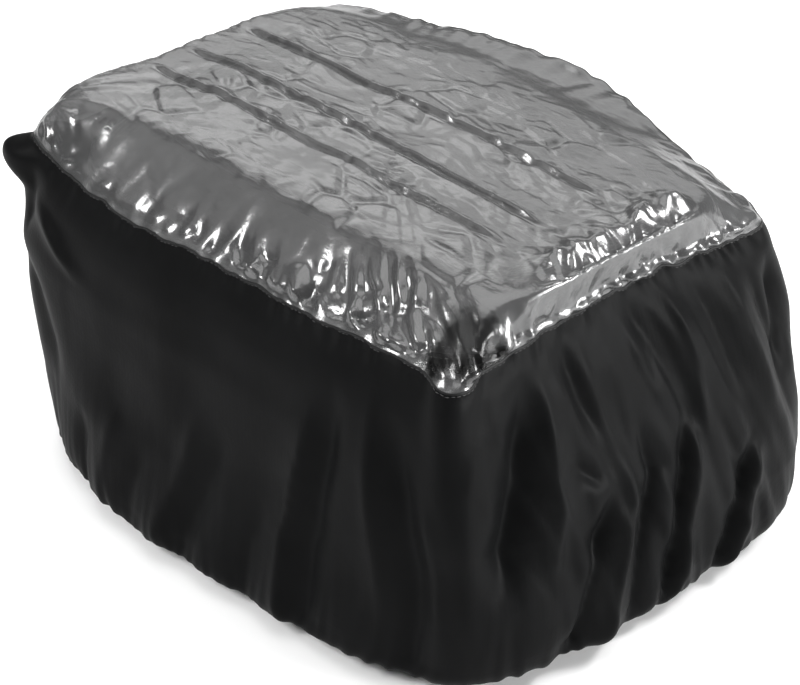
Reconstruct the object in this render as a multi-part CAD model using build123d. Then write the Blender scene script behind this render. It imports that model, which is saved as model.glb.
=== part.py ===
"""Motorcycle tank bag with its rain cover on, as separate sewn and moulded pieces.

Millimetres. The origin is the middle of the footprint on the surface that the bag stands on. +X points
to the front of the motorcycle, +Y to its left and +Z up. The bag tapers upwards, its lid opens forwards
on a piped hinge at the front, and the rain cover lifts straight up off everything else.
"""

import os
from math import cos, radians, sin

from build123d import *

# ---- Driving dimensions -----------------------------------------------------------------------------

# Bag body: half length, half width and corner radius of its outline, at the base and at the zip.
BASE_HALF_X, BASE_HALF_Y, BASE_RADIUS = 200.0, 146.0, 70.0
TOP_HALF_X, TOP_HALF_Y, TOP_RADIUS = 186.0, 123.0, 45.0

GAP = 0.1  # between layers that are sewn or glued face to face
PAD_THICK = 6.0  # rubber pad that the bag stands on
PAD_INSET = 20.0
BASE_PIPING_Z = 10.2
BASE_FABRIC = 2.0
BOARD_THICK = 4.0
BASE_FOAM = 5.0
FABRIC = 2.0
WALL_FOAM = 7.0
LINING = 1.0

ZIP_LEVEL = 200.0  # the plane where lid and body part
TAPE_THICK, TAPE_HIGH = 1.2, 6.4
COIL_THICK, COIL_HIGH = 2.2, 2.2
COIL_GAP = 0.1  # half the gap between the two coils

HINGE_HALF_LENGTH = 76.0
HINGE_RADIUS = 1.8
HINGE_X = 188.8

# Lid: a flank that leans in to a raised panel, which sits nearer the front than the rear.
LID_TOP = 240.0
PANEL_HALF_X, PANEL_HALF_Y, PANEL_RADIUS = 172.0, 95.0, 36.0
PANEL_SHIFT = 11.0
LID_FOAM = 6.0
PIPING_RADIUS = 2.0

# Map pocket on the raised panel.
POCKET_HALF_X, POCKET_HALF_Y, POCKET_RADIUS = 152.0, 84.0, 14.0
POCKET_SHIFT = 22.0
POCKET_BORDER = 12.0
POCKET_GUSSET = 2.2
WINDOW_THICK = 0.8
BINDING_THICK = 1.2

MAGNET_RADIUS, MAGNET_THICK = 20.0, 3.6
MAGNET_SPACING_X, MAGNET_SPACING_Y = 130.0, 150.0

# Carry handle on the lid's front flank, folded up against it.
HANDLE_HALF_SPAN = 62.0
HANDLE_PIN_RADIUS = 1.5
HANDLE_PIN_Z = 219.0
HANDLE_X = 192.6
HANDLE_RISE = 17.0
WEBBING_THICK = 2.4
GRIP_RADIUS = 4.0

# Rain cover: outline at the seam under its clear top, where it fills out below, and at its foot.
SEAM_HALF_X, SEAM_HALF_Y, SEAM_RADIUS = 202.0, 138.0, 24.0
WAIST_HALF_X, WAIST_HALF_Y, WAIST_RADIUS = 221.0, 162.0, 66.0
FOOT_HALF_X, FOOT_HALF_Y, FOOT_RADIUS = 232.0, 176.0, 100.0
SEAM_Z, WAIST_Z, FOOT_Z = 215.0, 150.0, 9.0
SKIRT_THICK = 1.6
COVER_TOP = 252.0
COVER_PANEL_HALF_X, COVER_PANEL_HALF_Y, COVER_PANEL_RADIUS = 181.5, 101.0, 46.0
COVER_PANEL_SHIFT = 14.5
CLEAR_THICK = 1.2
SEAM_TAPE_HIGH, SEAM_TAPE_THICK = 3.0, 2.4
HEM_HALF_X, HEM_HALF_Y, HEM_RADIUS = 190.0, 135.0, 74.0
HEM_Z, HEM_THICK = 2.9, 1.2
CHANNEL_RADIUS, ELASTIC_RADIUS = 2.2, 1.2

# Zip sliders and their pulls.
SLIDER_LONG, SLIDER_WIDE, SLIDER_THICK = 14.0, 10.0, 3.0
BAIL_RADIUS, BAIL_REACH, BAIL_SPAN = 0.8, 2.0, 6.0
PULL_LONG, PULL_WIDE, PULL_THICK = 25.0, 8.0, 1.6
EYE_RADIUS, EYE_CLEARANCE = 2.0, 0.06
SLIDER_PARK = 9.0  # from the middle of the rear edge to each lid slider's middle
MAP_ZIP_X, MAP_ZIP_HALF_LENGTH, MAP_SLIDER_Y = -147.0, 74.0, 60.0

os.makedirs("parts", exist_ok=True)


# ---- Shape helpers ----------------------------------------------------------------------------------


def outline(half_x, half_y, radius, z, shift=0.0):
    """A rounded rectangle as a face at height z, moved along X by shift."""
    return Pos(shift, 0, z) * RectangleRounded(2 * half_x, 2 * half_y, radius)


def body_outline(z, inset=0.0):
    """The bag body's outline at height z, drawn in by inset."""
    share = (z - PAD_THICK) / (ZIP_LEVEL - PAD_THICK)
    half_x = BASE_HALF_X + (TOP_HALF_X - BASE_HALF_X) * share
    half_y = BASE_HALF_Y + (TOP_HALF_Y - BASE_HALF_Y) * share
    radius = BASE_RADIUS + (TOP_RADIUS - BASE_RADIUS) * share
    return outline(half_x - inset, half_y - inset, radius - inset, z)


def body_wall(z0, z1, outer, inner):
    """A tapered wall of the bag body between two insets."""
    skin = loft([body_outline(z0, outer), body_outline(z1, outer)], ruled=True)
    hollow = loft([body_outline(z0 - 1, inner), body_outline(z1 + 1, inner)], ruled=True)
    return skin - hollow


def body_plate(z0, z1, inset):
    """A plate across the bag body."""
    return loft([body_outline(z0, inset), body_outline(z1, inset)], ruled=True)


def straight_ring(half_x, half_y, radius, thick, z0, z1, shift=0.0):
    """A ring with upright walls, thick wide, inside the given outline."""
    outside = extrude(outline(half_x, half_y, radius, z0, shift), z1 - z0)
    inside = extrude(outline(half_x - thick, half_y - thick, radius - thick, z0 - 1, shift), z1 - z0 + 2)
    return outside - inside


def cord_ring(half_x, half_y, radius, z, section, shift=0.0):
    """A round cord laid round an outline at height z."""
    path = outline(half_x, half_y, radius, z, shift).wire()
    return sweep(Plane(origin=path @ 0, z_dir=path % 0) * Circle(section), path=path)


def open_at_front(ring):
    """Takes the hinge's stretch out of a ring that goes round the bag."""
    notch = Pos(TOP_HALF_X, 0, ZIP_LEVEL) * Box(30, 2 * HINGE_HALF_LENGTH + 3, 40)
    return ring - notch


def box_between(x0, x1, y0, y1, z0, z1):
    """A box from its two corners."""
    size = (abs(x1 - x0), abs(y1 - y0), abs(z1 - z0))
    return Pos((x0 + x1) / 2, (y0 + y1) / 2, (z0 + z1) / 2) * Box(*size)


def cylinder_between(start, end, radius):
    """A round bar from start to end."""
    axis = Vector(*end) - Vector(*start)
    plane = Plane(origin=start, z_dir=axis)
    return extrude(plane * Circle(radius), axis.length)


def write(node, shape):
    """Saves one node, as its solids."""
    solids = shape.solids()
    shape = solids[0] if len(solids) == 1 else Compound(children=list(solids))
    shape.label = node
    export_step(shape, f"parts/{node}.step")


# ---- Bag base ---------------------------------------------------------------------------------------

PANEL_Z = PAD_THICK + GAP
BOARD_Z = PANEL_Z + BASE_FABRIC + GAP
FOAM_Z = BOARD_Z + BOARD_THICK + GAP
FLOOR_Z = FOAM_Z + BASE_FOAM + GAP
WALL_TOP = ZIP_LEVEL - COIL_GAP - COIL_HIGH - TAPE_HIGH - 2 * GAP


def magnet_places():
    """Centres of the six magnets: two rows of three."""
    rows = (-MAGNET_SPACING_Y / 2, MAGNET_SPACING_Y / 2)
    return [(x, y) for x in (-MAGNET_SPACING_X, 0, MAGNET_SPACING_X) for y in rows]


def base_pad():
    """Ribbed rubber pad under the bag, with shallow grooves across it."""
    pad = extrude(
        outline(BASE_HALF_X - PAD_INSET, BASE_HALF_Y - PAD_INSET, BASE_RADIUS - PAD_INSET / 2, 0), PAD_THICK
    )
    groove_pitch, groove_wide, groove_deep = 24.0, 3.0, 1.5
    for i in range(-6, 7):
        x = i * groove_pitch
        pad -= box_between(x - groove_wide / 2, x + groove_wide / 2, -100, 100, -1, groove_deep)
    return pad


def base_board():
    """Stiff plastic board with a round seat for each magnet."""
    board = body_plate(BOARD_Z, BOARD_Z + BOARD_THICK, FABRIC + GAP)
    for x, y in magnet_places():
        board -= Pos(x, y, BOARD_Z - 1) * extrude(Circle(MAGNET_RADIUS + 0.5), BOARD_THICK + 2)
    return board


def magnets():
    """Six disc magnets, flush in the board."""
    lift = BOARD_Z + (BOARD_THICK - MAGNET_THICK) / 2
    discs = [Pos(x, y, lift) * extrude(Circle(MAGNET_RADIUS), MAGNET_THICK) for x, y in magnet_places()]
    return Compound(children=discs)


write("base_pad", base_pad())
write("base_panel", body_plate(PANEL_Z, PANEL_Z + BASE_FABRIC, 0))
write("base_board", base_board())
write("base_magnets", magnets())
write("base_foam", body_plate(FOAM_Z, FOAM_Z + BASE_FOAM, FABRIC + GAP))
write("floor_lining", body_plate(FLOOR_Z, FLOOR_Z + LINING, FABRIC + WALL_FOAM + 3 * GAP))
PIPING_REACH = 2.0
write(
    "base_piping",
    cord_ring(
        BASE_HALF_X + PIPING_REACH,
        BASE_HALF_Y + PIPING_REACH,
        BASE_RADIUS + PIPING_REACH,
        BASE_PIPING_Z,
        PIPING_RADIUS,
    ),
)

# ---- Bag walls and the body's half of the zip --------------------------------------------------------

write("wall_outer", body_wall(BOARD_Z, WALL_TOP, 0, FABRIC))
write("wall_foam", body_wall(FLOOR_Z, WALL_TOP, FABRIC + GAP, FABRIC + WALL_FOAM))
lining_outer = FABRIC + WALL_FOAM + 3 * GAP
write("wall_lining", body_wall(FLOOR_Z + LINING + GAP, WALL_TOP, lining_outer, lining_outer + LINING))


def zip_tape(z0):
    """One woven tape of the lid's zip, on three sides."""
    inset = 0.5
    ring = straight_ring(
        TOP_HALF_X - inset, TOP_HALF_Y - inset, TOP_RADIUS - inset, TAPE_THICK, z0, z0 + TAPE_HIGH
    )
    return open_at_front(ring)


def zip_coil(z0):
    """One row of the lid zip's coil, on three sides."""
    return open_at_front(straight_ring(TOP_HALF_X, TOP_HALF_Y, TOP_RADIUS, COIL_THICK, z0, z0 + COIL_HIGH))


lower_coil_z = ZIP_LEVEL - COIL_GAP - COIL_HIGH
upper_coil_z = ZIP_LEVEL + COIL_GAP
upper_tape_z = upper_coil_z + COIL_HIGH + GAP
LID_Z = upper_tape_z + TAPE_HIGH + GAP
write("zip_tape_lower", zip_tape(lower_coil_z - GAP - TAPE_HIGH))
write("zip_coil_lower", zip_coil(lower_coil_z))
write("zip_tape_upper", zip_tape(upper_tape_z))
write("zip_coil_upper", zip_coil(upper_coil_z))


def zip_end_stops():
    """Two moulded stops on the outside of the lower coil, where it meets the hinge."""
    stops = []
    for side in (-1, 1):
        y = side * (TOP_HALF_Y + 0.2)
        stops.append(box_between(136, 142, y, y + side * 1.6, lower_coil_z - 1, ZIP_LEVEL - COIL_GAP))
    return Compound(children=stops)


def hinge_flap(z0, z1):
    """Half of the fabric that joins lid and body along the front."""
    thick = 1.2
    x = TOP_HALF_X - 0.5
    return box_between(x - thick, x, -HINGE_HALF_LENGTH, HINGE_HALF_LENGTH, z0, z1)


write("zip_end_stops", zip_end_stops())
write("hinge_flap_lower", hinge_flap(WALL_TOP + GAP, ZIP_LEVEL - 0.6))
write("hinge_flap_upper", hinge_flap(ZIP_LEVEL + 0.6, LID_Z - GAP))
hinge_ends = [(HINGE_X, side * HINGE_HALF_LENGTH, ZIP_LEVEL) for side in (-1, 1)]
write("hinge_piping", cylinder_between(*hinge_ends, HINGE_RADIUS))

# ---- Lid --------------------------------------------------------------------------------------------


def lid_solid(inset, z0, z1):
    """The lid's shape drawn in by inset, from z0 to z1. Its flank keeps its slope."""

    def at(z):
        share = (z - LID_Z) / (LID_TOP - LID_Z)
        half_x = TOP_HALF_X - 1 + (PANEL_HALF_X - TOP_HALF_X + 1) * share - inset
        half_y = TOP_HALF_Y - 1 + (PANEL_HALF_Y - TOP_HALF_Y + 1) * share - inset
        radius = TOP_RADIUS + (PANEL_RADIUS - TOP_RADIUS) * share - inset
        return outline(half_x, half_y, radius, z, PANEL_SHIFT * share)

    return loft([at(z0), at(z1)], ruled=True)


def lid_layer(outer, inner, top, top_thick):
    """One layer of the lid: a flank and a panel, open underneath."""
    return lid_solid(outer, LID_Z, top) - lid_solid(inner, LID_Z - 1, top - top_thick)


def lid_piping():
    """Piping round the raised panel, just off the panel's edge."""
    reach = 1.7
    half_x, half_y, radius = PANEL_HALF_X + reach, PANEL_HALF_Y + reach, PANEL_RADIUS + reach
    return cord_ring(half_x, half_y, radius, LID_TOP + reach, PIPING_RADIUS, PANEL_SHIFT)


def pocket_ring(z0, thick, border, inset=0.0):
    """A flat border of the map pocket."""
    half_x, half_y, radius = POCKET_HALF_X - inset, POCKET_HALF_Y - inset, POCKET_RADIUS - inset
    return straight_ring(half_x, half_y, radius, border, z0, z0 + thick, POCKET_SHIFT)


def map_window():
    """Clear sheet of the map pocket."""
    z = LID_TOP + POCKET_GUSSET + 2 * GAP
    face = outline(POCKET_HALF_X - 1, POCKET_HALF_Y - 1, POCKET_RADIUS - 1, z, POCKET_SHIFT)
    return extrude(face, WINDOW_THICK)


write("lid_outer", lid_layer(0, FABRIC, LID_TOP, FABRIC))
write("lid_foam", lid_layer(FABRIC + GAP, FABRIC + LID_FOAM, LID_TOP - FABRIC - GAP, LID_FOAM))
lid_lining_top = LID_TOP - FABRIC - LID_FOAM - 3 * GAP
lid_lining_inset = FABRIC + LID_FOAM + 2 * GAP
write("lid_lining", lid_layer(lid_lining_inset, lid_lining_inset + LINING, lid_lining_top, LINING))
write("lid_piping", lid_piping())
write("map_pocket_gusset", pocket_ring(LID_TOP + GAP, POCKET_GUSSET, 5.0))
write("map_window", map_window())
binding_z = LID_TOP + POCKET_GUSSET + WINDOW_THICK + 3 * GAP
write("map_window_binding", pocket_ring(binding_z, BINDING_THICK, POCKET_BORDER))


def map_zip_tape():
    """The two woven tapes of the map pocket's zip, side by side on the panel."""
    tapes = []
    for side in (-1, 1):
        x = MAP_ZIP_X + side * 3.4
        tapes.append(
            box_between(
                x - 2.6, x + 2.6, -MAP_ZIP_HALF_LENGTH, MAP_ZIP_HALF_LENGTH, LID_TOP + GAP, LID_TOP + GAP + 0.8
            )
        )
    return Compound(children=tapes)


def map_zip_coil():
    """The map pocket zip's coil, a closed row between its tapes."""
    ends = (-MAP_ZIP_HALF_LENGTH + 2, MAP_ZIP_HALF_LENGTH - 2)
    return box_between(MAP_ZIP_X - 0.7, MAP_ZIP_X + 0.7, *ends, LID_TOP + GAP, LID_TOP + GAP + 1.4)


write("map_zip_tape", map_zip_tape())
write("map_zip_coil", map_zip_coil())

# ---- Carry handle -----------------------------------------------------------------------------------


def handle_anchors():
    """Two webbing loops sewn to the lid's front flank, each round one end of the handle's pin."""
    loops = []
    for side in (-1, 1):
        y0, y1 = side * (HANDLE_HALF_SPAN - 14), side * (HANDLE_HALF_SPAN - 4)
        start, end = (HANDLE_X, y0, HANDLE_PIN_Z), (HANDLE_X, y1, HANDLE_PIN_Z)
        barrel = cylinder_between(start, end, HANDLE_PIN_RADIUS + 1.3)
        tab = box_between(HANDLE_X - 6.2, HANDLE_X, y0, y1, HANDLE_PIN_Z - 2.2, HANDLE_PIN_Z)
        patch = box_between(
            HANDLE_X - 7.5, HANDLE_X - 6.0, y0 - side * 4, y1 + side * 3, HANDLE_PIN_Z - 7, HANDLE_PIN_Z + 2
        )
        start, end = (HANDLE_X, y0 - side, HANDLE_PIN_Z), (HANDLE_X, y1 + side, HANDLE_PIN_Z)
        bore = cylinder_between(start, end, HANDLE_PIN_RADIUS + EYE_CLEARANCE)
        loops.append((barrel + tab + patch) - bore)
    return Compound(children=loops)


def handle_webbing():
    """The handle's strap: a flat bow with a round pin at its foot on each side."""
    z_top = HANDLE_PIN_Z + HANDLE_RISE
    half_thick = WEBBING_THICK / 2
    leg = 3.0
    bow = box_between(
        HANDLE_X - half_thick, HANDLE_X + half_thick, -HANDLE_HALF_SPAN, HANDLE_HALF_SPAN, z_top - 3, z_top + 3
    )
    for side in (-1, 1):
        y0, y1 = side * (HANDLE_HALF_SPAN - leg), side * HANDLE_HALF_SPAN
        bow += box_between(HANDLE_X - half_thick, HANDLE_X + half_thick, y0, y1, HANDLE_PIN_Z - 1, z_top)
    reach = HANDLE_HALF_SPAN - 1
    start, end = (HANDLE_X, -reach, HANDLE_PIN_Z), (HANDLE_X, reach, HANDLE_PIN_Z)
    pin = cylinder_between(start, end, HANDLE_PIN_RADIUS)
    return bow + pin


def handle_grip():
    """Rubber sleeve round the middle of the strap."""
    z = HANDLE_PIN_Z + HANDLE_RISE
    half = 38.0
    sleeve = cylinder_between((HANDLE_X, -half, z), (HANDLE_X, half, z), GRIP_RADIUS)
    half_thick = WEBBING_THICK / 2 + GAP
    half_high = 3 + GAP
    slot = box_between(
        HANDLE_X - half_thick, HANDLE_X + half_thick, -half - 1, half + 1, z - half_high, z + half_high
    )
    return sleeve - slot


write("handle_anchors", handle_anchors())
write("handle_webbing", handle_webbing())
write("handle_grip", handle_grip())

# ---- Zip sliders and pulls --------------------------------------------------------------------------


def slider():
    """A zip slider lying on the XY plane, travelling along Y, with its bail's pin along X at the origin.

    The slider's plate is below the pin and the pull goes from the pin towards +Y."""
    pin_rise = BAIL_RADIUS + BAIL_REACH
    half_wide, half_long = SLIDER_WIDE / 2, SLIDER_LONG / 2
    plate = box_between(-half_wide, half_wide, -half_long, half_long, -pin_rise - SLIDER_THICK, -pin_rise)
    plate = fillet(plate.edges().filter_by(Axis.Z), 3.0)
    pin = cylinder_between((-BAIL_SPAN / 2, 0, 0), (BAIL_SPAN / 2, 0, 0), BAIL_RADIUS)
    for side in (-1, 1):
        x0, x1 = side * (BAIL_SPAN / 2 - 0.2), side * (BAIL_SPAN / 2 + 1.2)
        plate += box_between(x0, x1, -2.0, 2.0, -pin_rise, BAIL_RADIUS)
    return plate + pin


def pull():
    """A pull whose eye turns on the bail's pin at the origin, pointing towards +Y."""
    eye_half = BAIL_SPAN / 2 - 0.5
    eye = cylinder_between((-eye_half, 0, 0), (eye_half, 0, 0), EYE_RADIUS)
    neck = box_between(-eye_half, eye_half, 0, 6, -PULL_THICK / 2, PULL_THICK / 2)
    blade = box_between(-PULL_WIDE / 2, PULL_WIDE / 2, 5, PULL_LONG, -PULL_THICK / 2, PULL_THICK / 2)
    blade = fillet(blade.edges().filter_by(Axis.Z), 2.0)
    bore = cylinder_between((-eye_half - 1, 0, 0), (eye_half + 1, 0, 0), BAIL_RADIUS + EYE_CLEARANCE)
    return eye + neck + blade - bore


PIN_RISE = BAIL_RADIUS + BAIL_REACH + SLIDER_THICK  # from the slider's sole to its bail's pin
REAR_FACE = -TOP_HALF_X - 0.3  # the lid sliders' soles


def at_rear(shape, side):
    """Puts a slider or pull on the rear zip, with its pull pointing away from the middle."""
    plane = Plane(
        origin=(REAR_FACE - PIN_RISE, side * SLIDER_PARK, ZIP_LEVEL), x_dir=(0, 0, side), z_dir=(-1, 0, 0)
    )
    return plane.location * shape


def at_map_pocket(shape):
    """Puts a slider or pull on the map pocket's zip, with its pull pointing inwards."""
    plane = Plane(
        origin=(MAP_ZIP_X, MAP_SLIDER_Y, LID_TOP + GAP + 1.6 + PIN_RISE), x_dir=(-1, 0, 0), z_dir=(0, 0, 1)
    )
    return plane.location * shape


for name, side in (("left", 1), ("right", -1)):
    write(f"zip_slider_{name}", at_rear(slider(), side))
    write(f"zip_pull_{name}", at_rear(pull(), side))
write("map_zip_slider", at_map_pocket(slider()))
write("map_zip_pull", at_map_pocket(pull()))

# ---- Rain cover -------------------------------------------------------------------------------------


def tapered_shell(sections, thick, spill):
    """A shell through outlines, each (half_x, half_y, radius, z, shift), low to high, with walls thick wide."""
    moves = [-spill] + [0.0] * (len(sections) - 2) + [spill]
    inner = []
    for (half_x, half_y, radius, z, shift), move in zip(sections, moves):
        inner.append(outline(half_x - thick, half_y - thick, radius - thick, z + move, shift))
    outside = loft([outline(*section) for section in sections], ruled=True)
    return outside - loft(inner, ruled=True)


def cover_window():
    """Clear top of the cover: a flank that leans in to a flat panel."""
    low_z = SEAM_Z + SEAM_TAPE_HIGH / 2 + GAP
    low = (SEAM_HALF_X, SEAM_HALF_Y, SEAM_RADIUS, low_z, 0.0)
    panel_z = COVER_TOP - CLEAR_THICK
    high = (COVER_PANEL_HALF_X, COVER_PANEL_HALF_Y, COVER_PANEL_RADIUS, panel_z, COVER_PANEL_SHIFT)
    flank = tapered_shell([low, high], CLEAR_THICK, 0.01)
    panel = extrude(outline(*high), CLEAR_THICK)
    return flank + panel


def cover_skirt():
    """Coated nylon skirt, from the seam down to the widest part near the floor."""
    high_z = SEAM_Z - SEAM_TAPE_HIGH / 2 - GAP
    low = (FOOT_HALF_X, FOOT_HALF_Y, FOOT_RADIUS, FOOT_Z, 0.0)
    waist = (WAIST_HALF_X, WAIST_HALF_Y, WAIST_RADIUS, WAIST_Z, 0.0)
    high = (SEAM_HALF_X, SEAM_HALF_Y, SEAM_RADIUS, high_z, 0.0)
    return tapered_shell([low, waist, high], SKIRT_THICK, 0.05)


def cover_hem():
    """Hem panel that turns in under the bag's edge, as a shallow funnel."""
    top, bottom = FOOT_Z - GAP, HEM_Z + CHANNEL_RADIUS * sin(radians(30))
    inner_x, inner_y, inner_r = (
        HEM_HALF_X + CHANNEL_RADIUS + GAP,
        HEM_HALF_Y + CHANNEL_RADIUS + GAP,
        HEM_RADIUS + CHANNEL_RADIUS + GAP,
    )
    low = outline(inner_x, inner_y, inner_r, bottom - HEM_THICK)
    high = outline(FOOT_HALF_X, FOOT_HALF_Y, FOOT_RADIUS, top - HEM_THICK)
    funnel = loft([low, high], ruled=True)
    rim = extrude(outline(FOOT_HALF_X, FOOT_HALF_Y, FOOT_RADIUS, top - HEM_THICK), HEM_THICK)
    low_inside = outline(inner_x, inner_y, inner_r, bottom)
    high_inside = outline(FOOT_HALF_X, FOOT_HALF_Y, FOOT_RADIUS, top)
    inside = loft([low_inside, high_inside], ruled=True)
    bore = extrude(outline(inner_x, inner_y, inner_r, 0), FOOT_Z)
    return funnel + rim - inside - bore


def cover_hem_channel():
    """Sewn channel along the hem, round the elastic."""
    outer = cord_ring(HEM_HALF_X, HEM_HALF_Y, HEM_RADIUS, HEM_Z, CHANNEL_RADIUS)
    inner = cord_ring(HEM_HALF_X, HEM_HALF_Y, HEM_RADIUS, HEM_Z, ELASTIC_RADIUS + GAP)
    return outer - inner


write("cover_window", cover_window())
write(
    "cover_seam_tape",
    straight_ring(
        SEAM_HALF_X + 0.4,
        SEAM_HALF_Y + 0.4,
        SEAM_RADIUS + 0.4,
        SEAM_TAPE_THICK,
        SEAM_Z - SEAM_TAPE_HIGH / 2,
        SEAM_Z + SEAM_TAPE_HIGH / 2,
    ),
)
write("cover_skirt", cover_skirt())
write("cover_hem", cover_hem())
write("cover_hem_channel", cover_hem_channel())
write("cover_hem_elastic", cord_ring(HEM_HALF_X, HEM_HALF_Y, HEM_RADIUS, HEM_Z, ELASTIC_RADIUS))
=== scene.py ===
"""Looks of a motorcycle tank bag that wears its rain cover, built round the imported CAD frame.

Shapes are worked out in millimetres in the row frame (+X front, +Y left, +Z up) and stored in metres.
"""

import math

import bpy
import numpy as np
from mathutils import Matrix, Vector


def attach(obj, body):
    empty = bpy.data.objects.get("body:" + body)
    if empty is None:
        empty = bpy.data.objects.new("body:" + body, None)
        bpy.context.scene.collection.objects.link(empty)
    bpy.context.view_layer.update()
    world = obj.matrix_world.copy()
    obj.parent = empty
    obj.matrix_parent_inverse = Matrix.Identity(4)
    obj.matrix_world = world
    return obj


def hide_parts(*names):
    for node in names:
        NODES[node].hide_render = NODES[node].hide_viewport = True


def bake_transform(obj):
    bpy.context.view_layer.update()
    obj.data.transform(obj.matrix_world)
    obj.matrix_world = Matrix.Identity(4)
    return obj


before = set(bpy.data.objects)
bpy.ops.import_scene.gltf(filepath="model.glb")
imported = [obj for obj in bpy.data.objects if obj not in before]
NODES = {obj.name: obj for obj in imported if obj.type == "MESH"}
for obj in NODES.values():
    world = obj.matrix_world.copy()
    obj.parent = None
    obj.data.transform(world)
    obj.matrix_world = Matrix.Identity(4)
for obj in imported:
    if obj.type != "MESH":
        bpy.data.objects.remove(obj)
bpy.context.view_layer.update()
MM = 0.001

# ---- Camera, lights, floor ----

AZIMUTH, ELEVATION = math.radians(47.2), math.radians(31.9)
CAMERA_AT = Vector((1.12488, -1.03425, 1.0452))
LENS_MM, SENSOR_MM = 123.7, 36.0
FLOOR_REACH = 6.0  # metres from the middle to each edge


def add_camera():
    back = Vector(
        (
            math.sin(AZIMUTH) * math.cos(ELEVATION),
            -math.cos(AZIMUTH) * math.cos(ELEVATION),
            math.sin(ELEVATION),
        )
    )
    right = Vector((math.cos(AZIMUTH), math.sin(AZIMUTH), 0.0))
    up = back.cross(right)
    data = bpy.data.cameras.new("camera")
    data.lens, data.sensor_width = LENS_MM, SENSOR_MM
    camera = bpy.data.objects.new("camera", data)
    camera.matrix_world = Matrix.Translation(CAMERA_AT) @ Matrix((right, up, back)).transposed().to_4x4()
    bpy.context.scene.collection.objects.link(camera)
    bpy.context.scene.camera = camera


def add_area_light(name, at, aim, size, power, color=(1, 1, 1)):
    data = bpy.data.lights.new(name, "AREA")
    data.shape = "RECTANGLE"
    data.size, data.size_y = size
    data.energy = power
    data.color = color
    light = bpy.data.objects.new(name, data)
    light.location = at
    light.rotation_euler = (Vector(aim) - Vector(at)).to_track_quat("-Z", "Y").to_euler()
    bpy.context.scene.collection.objects.link(light)


def add_studio():
    world = bpy.data.worlds.new("studio")
    world.use_nodes = True
    background = world.node_tree.nodes["Background"]
    background.inputs["Color"].default_value = (1.0, 1.0, 1.0, 1)
    background.inputs["Strength"].default_value = 0.2
    bpy.context.scene.world = world
    add_area_light("light_back", (-1.4, 1.6, 1.5), (0, 0, 0.2), (2.4, 1.6), 16)
    add_area_light("light_upper", (-1.35, 0.65, 1.85), (0, 0, 0.2), (1.3, 1.3), 10)
    add_area_light("light_key", (1.0, 1.3, 1.85), (0.1, 0, 0.2), (0.6, 0.6), 42)
    add_area_light("light_right", (1.9, 0.95, 0.6), (0.15, 0, 0.1), (0.9, 0.7), 62)
    add_area_light("light_left", (-1.5, -1.1, 1.7), (0, 0, 0.2), (1.3, 1.3), 3.6)
    add_area_light("light_front", (-0.5, -1.7, 1.6), (0, 0, 0.2), (0.8, 0.8), 50)
    add_area_light("light_top", (0.2, -0.1, 2.3), (0, 0, 0.1), (1.8, 1.8), 27)
    mesh = bpy.data.meshes.new("floor")
    corners = [(x * FLOOR_REACH, y * FLOOR_REACH, 0) for x, y in ((-1, -1), (1, -1), (1, 1), (-1, 1))]
    mesh.from_pydata(corners, [], [(0, 1, 2, 3)])
    floor = bpy.data.objects.new("floor", mesh)
    bpy.context.scene.collection.objects.link(floor)
    material = bpy.data.materials.new("floor_paper")
    material.use_nodes = True
    shader = material.node_tree.nodes["Principled BSDF"]
    shader.inputs["Base Color"].default_value = (0.86, 0.86, 0.86, 1)
    shader.inputs["Roughness"].default_value = 0.9
    mesh.materials.append(material)


add_camera()
add_studio()
bpy.context.scene.view_settings.view_transform = "Standard"

# ---- Mesh helpers ----


def new_object(name, points, faces, material, smooth=True):
    """A mesh object from points in millimetres."""
    mesh = bpy.data.meshes.new(name)
    mesh.from_pydata((np.asarray(points, float) * MM).tolist(), [], faces)
    mesh.materials.append(material)
    mesh.polygons.foreach_set("use_smooth", [smooth] * len(mesh.polygons))
    obj = bpy.data.objects.new(name, mesh)
    bpy.context.scene.collection.objects.link(obj)
    return obj


def grid_faces(rows, cols, closed=True, wrapped=False):
    faces = []
    for i in range(rows if wrapped else rows - 1):
        below = (i + 1) % rows
        for j in range(cols if closed else cols - 1):
            k = (j + 1) % cols
            faces.append((i * cols + j, below * cols + j, below * cols + k, i * cols + k))
    return faces


def face_outwards(obj):
    """Turns a closed mesh's faces so that they look outwards."""
    obj.data.calc_loop_triangles()
    at = np.array([v.co[:] for v in obj.data.vertices])
    corners = np.array([t.vertices[:] for t in obj.data.loop_triangles])
    a, b, c = (at[corners[:, k]] for k in range(3))
    if np.einsum("ij,ij->", a, np.cross(b, c)) < 0:
        obj.data.flip_normals()


def grid_object(name, grid, material, closed=True, wrapped=False):
    """A sheet from grid[row, column]; columns run round it if closed, and rows too if wrapped.

    UVs are in metres along the sheet. A wrapped grid that isn't closed gets a face over each end."""
    rows, cols = grid.shape[:2]
    faces = grid_faces(rows, cols, closed, wrapped)
    spare = 0
    if wrapped and not closed:
        faces += [tuple(i * cols for i in range(rows)), tuple(i * cols + cols - 1 for i in range(rows))[::-1]]
        spare = 2 * rows
    obj = new_object(name, grid.reshape(-1, 3), faces, material)
    tall = np.concatenate([grid, grid[:1]]) if wrapped else grid
    wide = np.concatenate([grid, grid[:, :1]], 1) if closed else grid
    down = MM * np.r_[0, np.cumsum(np.linalg.norm(np.diff(tall, axis=0), axis=2).mean(1))]
    along = MM * np.r_[0, np.cumsum(np.linalg.norm(np.diff(wide, axis=1), axis=2).mean(0))]
    uv = np.empty((len(down) - 1, len(along) - 1, 4, 2))
    uv[..., 0] = np.stack([along[:-1], along[:-1], along[1:], along[1:]], 1)[None]
    uv[..., 1] = np.stack([down[:-1], down[1:], down[1:], down[:-1]], 1)[:, None]
    obj.data.uv_layers.new(name="sheet").data.foreach_set("uv", np.r_[uv.ravel(), np.zeros(2 * spare)])
    if wrapped:
        face_outwards(obj)
    return obj


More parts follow.
